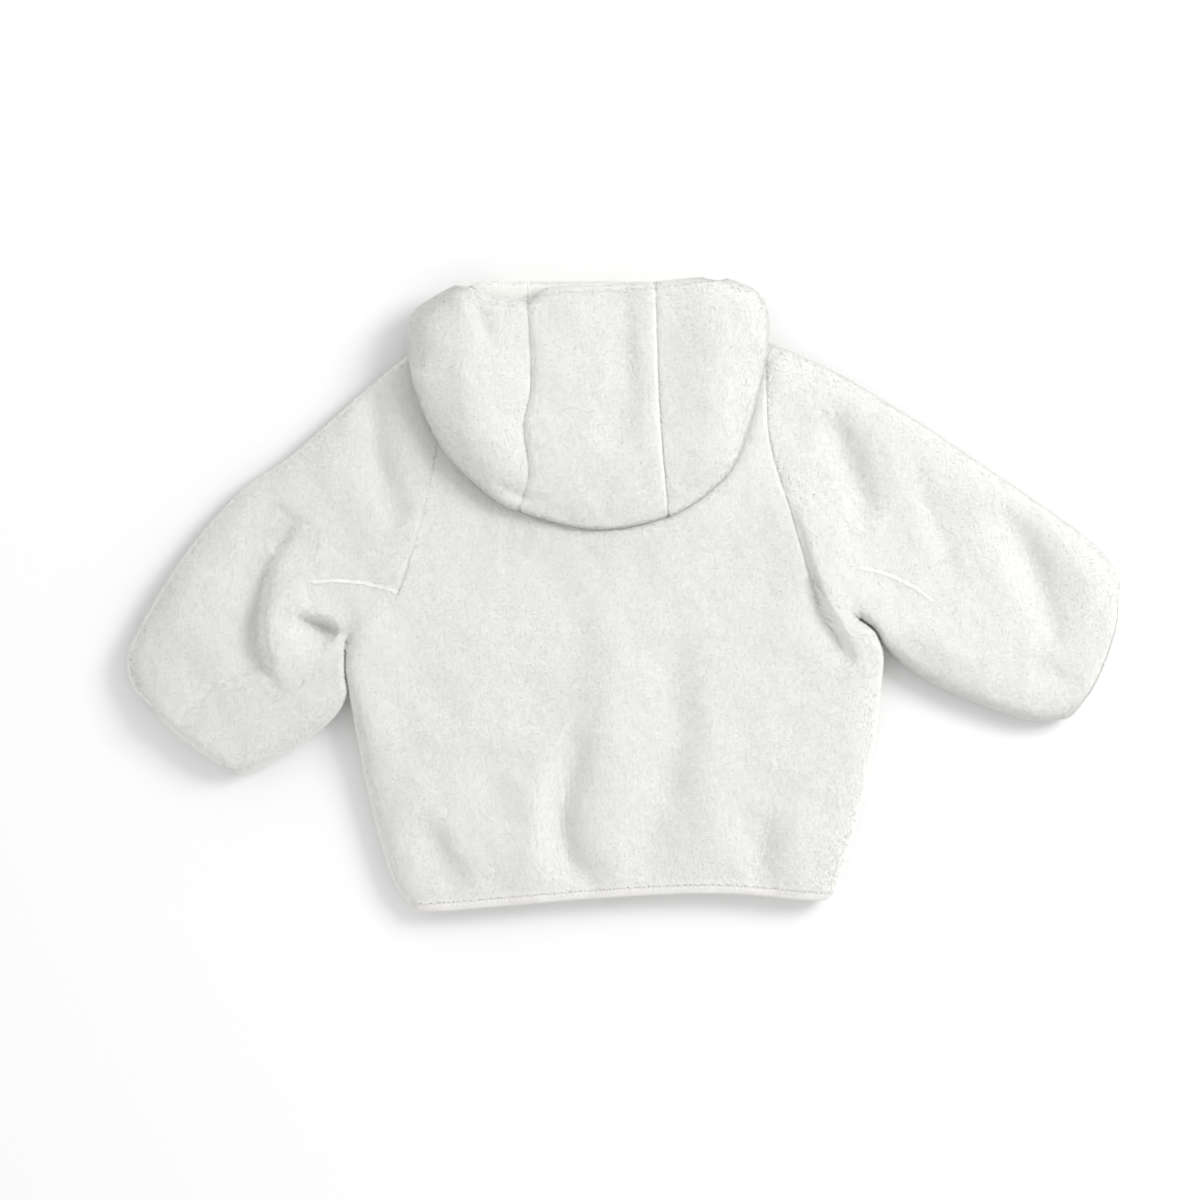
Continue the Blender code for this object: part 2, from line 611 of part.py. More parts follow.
def rounded_box(name, size, centre, surface):
    bpy.ops.mesh.primitive_cube_add(size=1, location=np.array(centre) * MM)
    piece = bpy.context.object
    piece.name = piece.data.name = name
    piece.scale = np.array(size) * MM
    bpy.ops.object.transform_apply(location=False, rotation=False, scale=True)
    rounding = piece.modifiers.new("rounding", "BEVEL")
    rounding.width = ZIP_BEVEL * MM
    rounding.segments = 2
    piece.data.materials.append(material(name, surface))
    for collection in piece.users_collection:
        collection.objects.unlink(piece)
    bpy.data.collections[COLLECTION].objects.link(piece)


def zip_pieces():
    """The closed zip in the front opening, and its slider at the top of the stand."""
    low = across("hem", ZIP_X, ZIP_X, [0.0])[0, 1]
    high = across("stand_top", ZIP_X, ZIP_X, [0.0])[0, 1] - SLIDER_LENGTH - SLIDER_BELOW_TOP
    width = 2 * (ZIP_HALF - SEAM_GAP)
    height = ZIP_CLEAR + ZIP_HEIGHT / 2
    lengths = {"zip": high - low, "zip_slider": SLIDER_LENGTH}
    middles = {"zip": (high + low) / 2, "zip_slider": high + SEAM_GAP + SLIDER_LENGTH / 2}
    for name in lengths:
        rounded_box(name, (width, lengths[name], ZIP_HEIGHT), (ZIP_X, middles[name], height), ZIP_PLASTIC)


def main():
    for old in list(bpy.data.objects):
        bpy.data.objects.remove(old, do_unlink=True)
    bpy.context.scene.collection.children.link(bpy.data.collections.new(COLLECTION))
    plush_pieces = {
        "back": (back(), False),
        "front_left": (front("left"), False),
        "front_right": (front("right"), False),
        "sleeve_left": (sleeve("left"), True),
        "sleeve_right": (sleeve("right"), True),
        "hood_side_left": (hood_side("left"), False),
        "hood_centre": (hood_centre(), False),
        "hood_side_right": (hood_side("right"), False),
        "neck_stand": (neck_stand(), False),
    }
    binding_pieces = {
        "hem_binding": (hem_binding(), False),
        "cuff_binding_left": (cuff_binding("left"), True),
        "cuff_binding_right": (cuff_binding("right"), True),
    }
    for pieces, surface in ((plush_pieces, PLUSH), (binding_pieces, BINDING)):
        for name, (wall, closed) in pieces.items():
            wall_object(name, wall, surface, closed)
    zip_pieces()


main()
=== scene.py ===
"""Looks of a baby's plush hooded jacket that lies face down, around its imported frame.

The outlines, layers and folds follow the part's, in millimetres. The folds are finer here, and steeper
at the elbow, at the right armhole and under both arms. Each cut piece is a backing shell, and its pile
is a mesh of small tufts that reach the solid's outside.
X runs towards the wearer's right, Y from the hem to the neck, Z up from the surface.
"""

from collections import namedtuple

import bpy
import numpy as np
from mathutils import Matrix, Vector


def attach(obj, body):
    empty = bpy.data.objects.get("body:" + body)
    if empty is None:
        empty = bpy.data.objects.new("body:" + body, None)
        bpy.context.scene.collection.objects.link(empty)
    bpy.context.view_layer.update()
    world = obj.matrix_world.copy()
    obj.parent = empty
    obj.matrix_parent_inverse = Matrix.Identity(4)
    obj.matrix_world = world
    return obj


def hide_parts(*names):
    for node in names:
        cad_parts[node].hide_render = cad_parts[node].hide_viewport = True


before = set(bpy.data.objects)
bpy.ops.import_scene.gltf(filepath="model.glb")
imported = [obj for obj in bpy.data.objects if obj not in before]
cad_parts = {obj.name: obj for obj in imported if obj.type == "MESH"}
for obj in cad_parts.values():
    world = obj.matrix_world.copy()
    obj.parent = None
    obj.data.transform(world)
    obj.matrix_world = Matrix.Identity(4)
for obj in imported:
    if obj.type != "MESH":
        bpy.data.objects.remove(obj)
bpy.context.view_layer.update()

MM = 0.001

# Cloth
WALL = 5.5                 # plush with its pile
THIN_WALL = 2.5            # what is left of the wall under the deepest folds
HOLLOW = 1.8               # least room between a wall and the one below it
HALF_GAP = 0.08            # half of the gap at a seam
PILE = 1.0                 # depth of the backing under the tips
TIP_ROOM = 0.9             # least cloth under the tips
BACKING_ROOM = 0.6         # and under the backing
GROOVE_DEPTH = 1.2         # seams sink into the pile, in a narrow groove between soft shoulders
GROOVE_WIDTH = 1.0
SHOULDER_DEPTH = 0.7
SHOULDER_WIDTH = 3.8
SOFT_EDGE = 6.0            # rounding of the hood's turned face edge
BINDING_WALL = 4.2
BINDING_INSET = 0.8
CUFF_INSET = 5.7           # the cuffs' binding is tucked in under the plush
CUFF_WALL = 2.6
BINDING_GAP = 0.25
LINING_PILE = 0.15         # share of the wall that the inner side's short pile fills

# Jacket layer
MID_HEIGHT = 9.5
EDGE_ABOVE = 20.0
FULLNESS = 2.6             # over 2, edges round off late, as thick pile does
EDGE_BELOW = 12.0
LEAST_ROOF = 9.8
ROOF_SOFTNESS = 0.8        # how gently folds end at the least roof
WAY_SOFTNESS = 0.8         # how gently the way out turns at a corner of the silhouette
FOREARM_GROOVE_DEPTH = 1.4
FOREARM_GROOVE_WIDTH = 1.7
LUMPS = [(0.45, 34, 3), (0.2, 13, 4), (0.06, 5, 5)]      # the pile's own: height, size, seed

# Hood layer
HOOD_REST = 21.0
HOOD_DEPTH = 17.2
HOOD_MID = 5.0
HOOD_EDGE_ABOVE = 17.0
HOOD_EDGE_BELOW = 10.0

# Front zip
ZIP_X = -9.0
ZIP_HALF = 3.0
ZIP_HEIGHT = 3.4
ZIP_CLEAR = 0.6
SLIDER_LENGTH = 12.0

CENTRE = np.array((0.17, 0.15))
OUTWARD = {"left": -1.0, "right": 1.0}

OUTLINES = {
    "side_left": [(-116, -166), (-126, -151), (-138, -109), (-146, -67), (-150.4, -40), (-150, -24)],
    "side_right": [(112, -160), (123, -124), (132, -84), (136.5, -50), (137.6, -32), (132.6, -19),
                   (125, -13)],
    "armhole_left": [(-150, -24), (-123, -1), (-111, 36), (-101, 80), (-97, 115), (-96, 146)],
    "armhole_right": [(125, -13), (108, -2), (97, 14), (88, 45), (77, 81), (75, 110), (75, 137)],
    "overarm_left": [(-96, 146), (-138, 112), (-180, 75), (-208, 55), (-237, 22), (-260, -15),
                     (-268, -36), (-262, -56.6)],
    "underarm_left": [(-150, -24), (-150.7, -27), (-151, -34), (-150.8, -44), (-150.4, -54), (-161, -69),
                      (-191, -89), (-208.7, -97.3)],
    "overarm_right": [(75, 137), (114, 119), (157, 93), (199, 65), (242, 35), (259, 19), (267.2, 2.8)],
    "underarm_right": [(125, -13), (133, -18.4), (138.4, -27), (148, -36.5), (160, -45), (183, -56),
                       (217, -67), (241.3, -65.8)],
    "shoulder_left": [(-96, 146), (-84, 152), (-72, 158)],
    "shoulder_right": [(75, 137), (63, 144), (50, 150)],
    "hem": [(-116, -166), (-47, -160), (7, -156), (55, -155), (112, -160)],
    "hem_edge": [(-114, -171), (-47, -165), (7, -161), (55, -160), (109, -165)],
    "cuff_left": [(-262, -54), (-235, -75), (-207, -95)],
    "cuff_edge_left": [(-262, -57.5), (-237, -78), (-209, -98)],
    "plush_end_left": [(-262, -56.6), (-236.6, -77.4), (-208.7, -97.3)],
    "plush_end_right": [(267.2, 2.8), (257.3, -33.6), (241.3, -65.8)],
    "cuff_right": [(264, 6), (254, -32), (238, -65)],
    "cuff_edge_right": [(268, 2), (258, -34), (242, -66)],
    "neck_back": [(-72, 158), (-41, 152), (-12, 150), (20, 148), (50, 150)],
    "neck_front": [(-72, 158), (-52, 128), (-11, 115), (34, 126), (50, 150)],
    "stand_top": [(-74, 165), (-11, 165.5), (53, 165)],
    "hood_left": [(-88, 168), (-114, 152), (-117, 131), (-111, 104), (-96, 75), (-73, 53), (-58, 44)],
    "hood_bottom": [(-58, 44), (-28, 36), (-5, 35), (23, 41)],
    "hood_right": [(50, 171), (72, 160), (76, 136), (69, 102), (58, 70), (43, 54), (23, 41)],
    "hood_seam_left": [(-53, 157.5), (-51, 113), (-55, 90), (-52, 65), (-58, 44)],
    "hood_seam_right": [(15, 167), (17, 105), (20, 65), (23, 41)],
    "hood_mouth_left": [(-88, 168), (-82, 166), (-76, 161), (-68, 157.5), (-53, 157.5)],
    "hood_mouth_centre": [(-53, 157.5), (-48, 160.5), (-41, 164), (-9, 166), (15, 167)],
    "hood_mouth_right": [(15, 167), (34, 169), (50, 171)],
    "under_seam_left": [(-53, 167), (-51, 113), (-55, 90), (-52, 65), (-58, 44)],
    "under_mouth_left": [(-88, 168), (-70, 167), (-53, 167)],
    "under_mouth_centre": [(-53, 167), (-20, 167), (15, 167)],
    "sleeve_seam_left": [(-123, 2), (-132, 4.6), (-144, 7), (-156, 8), (-168, 7)],
    "forearm_seam_left": [(-194, -38), (-207, -44), (-220, -50), (-237, -63)],
    "sleeve_seam_right": [(124, 15), (140, 11), (154, 4), (164, -3)],
}
OUTLINES["armhole_groove_left"] = OUTLINES["armhole_left"][1:]
OUTLINES["armhole_groove_right"] = [(104, -6)] + OUTLINES["armhole_right"][2:]

# The short sides of bands run from their seam to their free edge
for side, k in (("left", 0), ("right", -1)):
    OUTLINES[f"stand_{side}"] = [OUTLINES["neck_back"][k], OUTLINES["stand_top"][k]]
    OUTLINES[f"hem_end_{side}"] = [OUTLINES["hem"][k], OUTLINES["hem_edge"][k]]
    OUTLINES[f"cuff_over_{side}"] = [OUTLINES[f"cuff_{side}"][0], OUTLINES[f"cuff_edge_{side}"][0]]
    OUTLINES[f"cuff_under_{side}"] = [OUTLINES[f"cuff_{side}"][-1], OUTLINES[f"cuff_edge_{side}"][-1]]

# On which side of each silhouette outline the cloth is: a curve that lies there
JACKET_INSIDE = {
    "side_left": "side_right", "side_right": "side_left",
    "overarm_left": "underarm_left", "underarm_left": "overarm_left",
    "overarm_right": "underarm_right", "underarm_right": "overarm_right",
    "shoulder_left": "hem", "shoulder_right": "hem",
    "stand_left": "stand_right", "stand_right": "stand_left",
    "hem_end_left": "hem_end_right", "hem_end_right": "hem_end_left",
    "cuff_over_left": "cuff_under_left", "cuff_under_left": "cuff_over_left",
    "cuff_over_right": "cuff_under_right", "cuff_under_right": "cuff_over_right",
}
HOOD_INSIDE = {"hood_left": "hood_seam_right", "hood_bottom": "hood_mouth_centre",
               "hood_right": "hood_seam_left"}
JACKET_SEAMS = ["armhole_groove_left", "armhole_groove_right"]
HOOD_SEAMS = ["hood_seam_left", "hood_seam_right"]
HOOD_EDGE = [(-70, 51), (-50, 41), (-28, 36), (-5, 35), (23, 41), (43, 54), (58, 70), (69, 102)]

# Heights of the jacket's top side by Y
JACKET_LEVELS = [(-172, 17.5), (-140, 20.5), (-20, 21.5), (25, 19.2), (175, 18.0)]

# A fold runs along its path and fades at both ends. Its two widths are to the left and to the
# right of the path, looking along it; its height is over zero for a crest, under for a valley.
Fold = namedtuple("Fold", "name height left right path")
JACKET_FOLDS = [
    Fold("crest left of centre", 2.0, 16, 14, [(-55, -70), (-55, -165)]),
    Fold("hooked valley", -5.0, 8, 10, [(-23, -72), (-31, -98), (-35, -120), (-31, -142), (-12, -156)]),
    Fold("centre crest", 2.4, 14, 11, [(-12, 6), (-12, -70), (-11, -165)]),
    Fold("centre valley", -4.0, 11, 12, [(22, -22), (30, -60), (25, -94), (14, -126), (8, -152)]),
    Fold("crest right of centre", 2.4, 14, 12, [(41, -25), (41, -150)]),
    Fold("hem valley", -3.0, 9, 9, [(71, -115), (68, -158)]),
    Fold("hem crest", 2.0, 10, 10, [(92, -110), (92, -160)]),
    Fold("soft valley", -1.6, 12, 12, [(-68, -80), (-68, -125)]),
    Fold("hem crease", -3.4, 7, 15, [(-108, -122), (-84, -157)]),
    Fold("side ridge", 2.4, 14, 7, [(-138, 4), (-141, -40), (-139, -84)]),
    Fold("body rises to the armhole right", 4.4, 26, 18,
         [(84, 56), (92, 30), (101, 4), (116, -22), (130, -42)]),
    Fold("armhole valley right", -5.4, 3, 11, [(98, 12), (102, 0), (105, -9), (112, -21), (122, -36)]),
    Fold("sleeve stands over the armhole", 4.0, 36, 3.0,
         [(92, 50), (98, 30), (102, 14), (107, 0), (110, -9), (117, -21), (127, -37)]),
    Fold("crest at armhole right", 0.4, 12, 12, [(87, 112), (88, 50)]),
    Fold("first sleeve valley", -3.2, 9, 9, [(108, 98), (119, 67), (130, 38)]),
    Fold("first sleeve crest", 1.4, 10, 11, [(135, 92), (148, 60), (160, 28), (167, 4)]),
    Fold("second sleeve valley", -1.4, 7, 10, [(154, 66), (168, 29), (177, 2)]),
    Fold("second sleeve crest", 0.5, 11, 11, [(178, 60), (192, 28), (200, -4)]),
    Fold("third sleeve valley", -4.6, 8, 10, [(199, 50), (213, 24), (223, -4), (229, -28)]),
    Fold("cuff crest", 1.0, 12, 12, [(232, 34), (245, 2), (245, -26)]),
    Fold("cuff crease", -1.8, 6, 6, [(218, -33), (226, -42), (243, -50)]),
    Fold("underarm roll right", 1.8, 9, 9, [(135, -4), (165, -24), (200, -42)]),
    Fold("elbow valley", -9.5, 3.4, 17,
         [(-176, 42), (-186, 28), (-193, 14), (-196.5, 0), (-197.5, -14), (-196, -28), (-190, -42)]),
    Fold("sleeve rises to the elbow roll", 6.0, 24, 32,
         [(-168, 34), (-183, 14), (-190, -4), (-192, -18), (-190, -34), (-180, -50)]),
    Fold("branch of the elbow valley", -3.2, 5, 8, [(-190, 24), (-178, 30), (-164, 28)]),
    Fold("elbow roll", 5.4, 20, 3.4,
         [(-172, 5), (-183, 1), (-190, -8), (-192, -19), (-191, -30), (-187, -40), (-177, -50)]),
    Fold("underarm pit", -8.5, 3.4, 9, [(-178, -13), (-167, -15), (-160, -18), (-155, -23)]),
    Fold("sleeve over the pit", 3.0, 10, 3.2, [(-182, -6), (-168, -9.5), (-159, -12.5), (-152, -18)]),
    Fold("crease at armhole left", -5.0, 8, 8, [(-134, 116), (-135, 83), (-131, 64), (-121, 36)]),
    Fold("forearm crest", 1.6, 15, 15, [(-228, 16), (-250, -26)]),
]
HOOD_FOLDS = [
    Fold("left panel ridge", 5.0, 20, 14, [(-82, 160), (-84, 110), (-70, 54)]),
    Fold("centre panel valley", -2.6, 6, 15, [(-2, 170), (-1, 131), (1, 104), (-4, 76)]),
    Fold("right panel crest", 3.0, 14, 13, [(46, 170), (47, 105), (37, 58)]),
    Fold("corner crease", -2.6, 5, 6, [(-84, 170), (-79, 154), (-72, 130)]),
]
HOOD_DROOPS = [
    Fold("left corner", -12.0, 14, 14, [(-123, 118), (-120, 150), (-96, 174)]),
    Fold("right corner", -6.0, 13, 13, [(50, 180), (80, 168), (86, 140)]),
]
# Finer folds, and what the part's folds are deepened by
JACKET_CREASES = [
    Fold("broad valley left of centre", -1.2, 14, 12, [(-30, 10), (-30, -40), (-44, -84)]),
    Fold("broad valley beside it", -1.6, 10, 12, [(-48, -40), (-52, -66), (-60, -96)]),
    Fold("broad crest left", 1.2, 18, 16, [(-84, 0), (-82, -60), (-84, -84)]),
    Fold("crest beside the hooked valley", 1.6, 9, 8, [(-42, -92), (-49, -112), (-50, -158)]),
    Fold("hooked valley deepened", -2.0, 6, 8, [(-22, -78), (-32, -104), (-34, -132), (-24, -152)]),
    Fold("centre crest raised", 1.0, 12, 9, [(-3, -10), (-4, -70), (-5, -112)]),
    Fold("hem valley deepened", -1.8, 7, 6, [(78, -112), (74, -134), (71, -156)]),
    Fold("hem crest raised", 1.0, 10, 10, [(52, -100), (50, -150)]),
    Fold("hem crease deepened", -1.6, 6, 18, [(-112, -116), (-100, -136), (-88, -157)]),
    Fold("roll beside the hem crease", 1.8, 14, 7, [(-104, -116), (-93, -134), (-80, -156)]),
    Fold("body falls away at lower left", -3.6, 18, 16, [(-146, -84), (-138, -126), (-122, -174)]),
    Fold("first sleeve valley deepened", -2.6, 8, 8, [(108, 98), (119, 70), (130, 40)]),
    Fold("second sleeve valley sharpened", -0.6, 3, 8, [(154, 72), (168, 33), (180, 4)]),
    Fold("third sleeve valley deepened", -2.6, 14, 10, [(204, 44), (222, 14), (232, -24)]),
    Fold("back pressed up to the hood", 7.0, 6, 18, HOOD_EDGE + [(76, 134)]),
    Fold("left sleeve falls outward", -3.6, 24, 24, [(-120, 160), (-190, 92), (-262, 24), (-284, -60)]),
]
HOOD_CREASES = [
    Fold("left panel falls to its seam", -1.6, 2.5, 12,
         [(-53, 160), (-51, 113), (-55, 90), (-52, 66), (-57, 46)]),
    Fold("edge ridge of the centre panel", 0.4, 5, 8, [(9.5, 172), (11.5, 105), (15, 58)]),
    Fold("valley beside the right seam", -1.5, 17, 1.2, [(15.6, 172), (17.6, 105), (20.6, 65), (23.6, 41)]),
    Fold("hood thins to its lower edge", -6.2, 20, 20, [(-114, 110), (-98, 78)] + HOOD_EDGE + [(75, 130)]),
    Fold("pucker at the left seam", -1.2, 3, 3, [(-70, 60), (-56, 52), (-40, 50)]),
]

# Where a sleeve lies against the body both edges round over less width: place, reach
PRESSED = [((-150, -40), 27), ((134, -20), 15)]
PRESSED_SHARE = 0.68
PRESSED_LIFT = 8.5         # and meet this much higher up

# Shares along the overarm, and where the sleeve's sections from there reach the underarm
SLEEVE_SECTIONS = {
    "left": ([0, 0.3, 0.55, 0.75, 0.88, 1], [0, 0.04, 0.1, 0.27, 0.53, 1]),
    "right": ([0, 0.25, 0.5, 1], [0, 0.04, 0.3, 1]),
}

Layer = namedtuple("Layer", "silhouette roof_at floor_at mid edge_above edge_below seams")
Sheet = namedtuple("Sheet", "tip base inner skin")   # grids: pile ends, backing, inner side, outer form


# -------- curves seen from above

def smooth(points, steps=12):
    """A Catmull-Rom curve through the points, as a close polyline."""
    p = np.array(points, float) - CENTRE
    if len(p) == 2:
        return p[0] + np.linspace(0, 1, steps + 1)[:, None] * (p[1] - p[0])
    ends = np.vstack([2 * p[0] - p[1], p, 2 * p[-1] - p[-2]])
    t = np.linspace(0, 1, steps, endpoint=False)[:, None]
    runs = []
    for a, b, c, d in zip(ends, ends[1:], ends[2:], ends[3:]):
        runs.append(0.5 * (2 * b + (c - a) * t + (2 * a - 5 * b + 4 * c - d) * t**2
                           + (3 * b - a - 3 * c + d) * t**3))
    return np.vstack(runs + [p[-1:]])


CURVES = {name: smooth(points) for name, points in OUTLINES.items()}


def lengths(line):
    """Length of a polyline up to each of its points."""
    return np.concatenate([[0], np.cumsum(np.linalg.norm(np.diff(line, axis=0), axis=1))])


def shares(line):
    """How far along a polyline each of its points is, from 0 to 1."""
    run = lengths(line)
    return run / run[-1]


def points_at(line, run, places):
    """Points of a polyline, in plan or in space, at places in its run."""
    return np.stack([np.interp(places, run, column) for column in line.T], axis=-1)


def along(name, fractions):
    """Points of an outline at fractions of its length."""
    return points_at(CURVES[name], shares(CURVES[name]), fractions)


def across(name, x_from, x_to, fractions):
    """Points of an outline that runs left to right, between two places in X."""
    line = CURVES[name]
    x = x_from + (x_to - x_from) * np.asarray(fractions)
    return np.stack([x, np.interp(x, line[:, 0], line[:, 1])], axis=-1)


def unit(vectors):
    """Vectors of length 1, along the last axis."""
    return vectors / (np.linalg.norm(vectors, axis=-1, keepdims=True) + 1e-9)


def to_segments(points, start, step):
    """Share along, distance to and place from the start of every segment, for every point."""
    rel = points[:, None, :] - start
    t = np.clip((rel * step).sum(-1) / (step**2).sum(-1), 0, 1)
    return t, np.linalg.norm(rel - t[..., None] * step, axis=-1), rel


def in_chunks(work, points, size=3000):
    """Run a function of flat plan points in parts, to keep its arrays small."""
    flat = points.reshape(-1, 2)
    results = [work(flat[k:k + size]) for k in range(0, len(flat), size)]
    shape = points.shape[:-1]
    return [np.concatenate(r).reshape(shape + r[0].shape[1:]) for r in zip(*results)]


def nearest(points, line):
    """Distance to a polyline, share along it, and the side: over zero to its left."""
    start, step = line[:-1], np.diff(line, axis=0)
    length = np.linalg.norm(step, axis=1)
    run = lengths(line)

    def work(flat):
        t, distance, rel = to_segments(flat, start, step)
        best = distance.argmin(-1)[:, None]
        side = step[:, 0] * rel[..., 1] - step[:, 1] * rel[..., 0]
        share = (run[:-1] + t * length) / run[-1]
        return [np.take_along_axis(v, best, -1)[:, 0] for v in (distance, share, side)]

    return in_chunks(work, points)


# -------- heights

def bell(distance, width):
    """1 at no distance, and next to nothing at two widths."""
    return np.exp(-((distance / width) ** 2))


def fold_height(points, folds):
    """Sum of the folds' heights at points in plan."""
    total = np.zeros(points.shape[:-1])
    for fold in folds:
        distance, share, side = nearest(points, smooth(fold.path))
        width = np.where(side > 0, fold.left, fold.right)
        fade = np.sin(np.pi * np.clip(share, 0.0, 1.0)) ** 0.5
        total += fold.height * fade * bell(distance, width)
    return total


def groove_depth(points, seams):
    """How far the pile sinks beside a seam."""
    gap = np.min([nearest(points, CURVES[name])[0] for name in seams], axis=0)
    return GROOVE_DEPTH * bell(gap, GROOVE_WIDTH) + SHOULDER_DEPTH * bell(gap, SHOULDER_WIDTH)


def lumps(points, size, seed):
    """Soft uneven waves of about one size, from -1 to 1."""
    rng = np.random.default_rng(seed)
    waves = 9
    total = np.zeros(points.shape[:-1])
    for angle, phase, stretch in zip(rng.uniform(0, 2 * np.pi, waves), rng.uniform(0, 2 * np.pi, waves),
                                     rng.uniform(0.6, 1.6, waves)):
        turn = 2 * np.pi * stretch / size
        total += np.sin(turn * (points[..., 0] * np.cos(angle) + points[..., 1] * np.sin(angle)) + phase)
    return total / waves**0.5 / 1.5


def unevenness(points):
    """The pile's own lumps."""
    return sum(height * lumps(points, size, seed) for height, size, seed in LUMPS)


def soft_floor(height, least):
    """Keep heights over a least one, without a hard edge where that starts."""
    return least + np.logaddexp(0, (height - least) / ROOF_SOFTNESS) * ROOF_SOFTNESS


def jacket_roof(points):
    level = np.interp(points[..., 1], *np.transpose(JACKET_LEVELS))
    folds = fold_height(points, JACKET_FOLDS + JACKET_CREASES)
    forearm_seam = nearest(points, CURVES["forearm_seam_left"])[0]
    folds -= FOREARM_GROOVE_DEPTH * bell(forearm_seam, FOREARM_GROOVE_WIDTH)
    return soft_floor(level + folds, LEAST_ROOF) + unevenness(points)


def jacket_floor(points):
    return np.zeros(points.shape[:-1])


def hood_floor(points):
    return HOOD_REST + fold_height(points, HOOD_DROOPS)


def hood_roof(points):
    folds = fold_height(points, HOOD_FOLDS + HOOD_CREASES)
    return hood_floor(points) + HOOD_DEPTH + folds + unevenness(points)


def silhouette_segments(inside):
    """Start, step and outward normal of every segment of a layer's silhouette."""
    runs = []
    for name, inner in inside.items():
        line = CURVES[name]
        step = np.diff(line, axis=0)
        towards, chord = CURVES[inner].mean(axis=0) - line.mean(axis=0), line[-1] - line[0]
        sign = -np.sign(chord[1] * towards[0] - chord[0] * towards[1])
        outward = sign * np.stack([step[:, 1], -step[:, 0]], -1) / np.linalg.norm(step, axis=1)[:, None]
        runs.append((line[:-1], step, outward))
    return [np.vstack(parts) for parts in zip(*runs)]


JACKET = Layer(silhouette_segments(JACKET_INSIDE), jacket_roof, jacket_floor, MID_HEIGHT,
               EDGE_ABOVE, EDGE_BELOW, JACKET_SEAMS)
HOOD = Layer(silhouette_segments(HOOD_INSIDE), hood_roof, hood_floor, HOOD_MID,
             HOOD_EDGE_ABOVE, HOOD_EDGE_BELOW, HOOD_SEAMS)


def edge_facts(points, layer):
    """Distance to the layer's silhouette, and the way out of it in plan, mostly of the nearest segments."""
    start, step, outward = layer.silhouette
    length = np.linalg.norm(step, axis=1)

    def work(flat):
        _, distance, _ = to_segments(flat, start, step)
        weight = length / (distance + WAY_SOFTNESS) ** 4
        way = weight @ outward
        return distance.min(-1), way / np.linalg.norm(way, axis=-1)[:, None]

    return in_chunks(work, points)


def pressed(points):
    """How much a sleeve lies against the body at points, from 0 to 1."""
    gaps = [np.linalg.norm(points - np.array(place) + CENTRE, axis=-1) / reach for place, reach in PRESSED]
    return np.exp(-np.min(gaps, axis=0) ** 2)


def lift(points, layer, upper, wall=WALL, pile=PILE, inset=0.0, mouth=None):
    """Raise plan points to a layer's upper or lower side: pile ends, backing and inner side.

    mouth is a polyline along which the cloth's free edge is turned and round.
    """
    distance, way = edge_facts(points, layer)
    roof, floor = layer.roof_at(points), layer.floor_at(points)
    press = pressed(points) if layer is JACKET else 0.0
    mid = floor + layer.mid + PRESSED_LIFT * press
    edge = layer.edge_above * (1 - PRESSED_SHARE * press) if upper else layer.edge_below
    lean = np.clip(1 - distance / edge, 0, 1)
    power = FULLNESS if upper else 2.0
    rise = (1 - lean**power) ** (1 / power)
    thickness = np.full(points.shape[:-1], wall)
    if upper:
        height = mid + (roof - mid) * rise
        thickness = np.clip(roof - floor - inset - WALL - HOLLOW, THIN_WALL, wall)
    else:
        height = mid - (mid - floor) * rise
    form = np.full(points.shape[:-1], inset)
    if mouth is not None:
        turned = np.clip(1 - nearest(points, mouth)[0] / SOFT_EDGE, 0, 1)
        form = form + SOFT_EDGE * (1 - np.sqrt(1 - turned**2))
    sink = form + (groove_depth(points, layer.seams) if pile > 0 else 0.0)
    out, up = lean ** (power - 1), (1.0 if upper else -1.0) * rise ** (power - 1)
    normal = np.concatenate([way * out[..., None], up[..., None]], axis=-1)
    normal /= np.linalg.norm(normal, axis=-1, keepdims=True)
    skin = np.concatenate([points, height[..., None]], axis=-1)
    deepest = inset + thickness
    tip = np.minimum(sink, deepest - TIP_ROOM)
    base = np.minimum(sink + pile, deepest - BACKING_ROOM)
    return Sheet(*(skin - normal * depth[..., None] for depth in (tip, base, deepest, form)))


# -------- patches and meshes

def patch(bottom, top, left, right, fade=1):
    """A Coons patch in plan between four outlines: rows go up, columns go right.

    The bends of its bottom and top fade out sooner where fade is higher.
    """
    u = 0.5 * (shares(bottom) + shares(top))[None, :, None]
    v = 0.5 * (shares(left) + shares(right))[:, None, None]
    sides = (1 - u) * left[:, None] + u * right[:, None]
    bottom_bend = bottom - (1 - u[0]) * bottom[0] - u[0] * bottom[-1]
    top_bend = top - (1 - u[0]) * top[0] - u[0] * top[-1]
    return sides + (1 - v) ** fade * bottom_bend + v ** fade * top_bend


def edge_spread(width, edge, bends, middle, both=True):
    """Fractions across a section: close together where its edges round, or its first one, else even."""
    near = edge * (1 - np.cos(np.linspace(0, np.pi / 2, bends))) / width
    far = 1 - near[::-1] if both else np.array([1.0])
    return np.concatenate([near, np.linspace(near[-1], far[0], middle + 2)[1:-1], far])


def move(sheet, rows, cols, shift):
    """Shift part of a sheet's grids, all alike."""
    for grid in sheet:
        grid[rows, cols] += shift


def plan_normals(line):
    """Unit vectors to the left of a polyline in plan, with no height."""
    step = np.gradient(line[..., :2], axis=0)
    step /= np.linalg.norm(step, axis=1)[:, None]
    return np.stack([-step[:, 1], step[:, 0], np.zeros(len(step))], axis=-1)


def join(first, second, axis):
    """Two sheets that share their last and first line, as one."""
    keep = (slice(1, None), slice(None)) if axis == 0 else (slice(None), slice(1, None))
    return Sheet(*(np.concatenate([a, b[keep]], axis=axis) for a, b in zip(first, second)))


def turned_round(sheet, axis):
    return Sheet(*(np.flip(grid, axis) for grid in sheet))


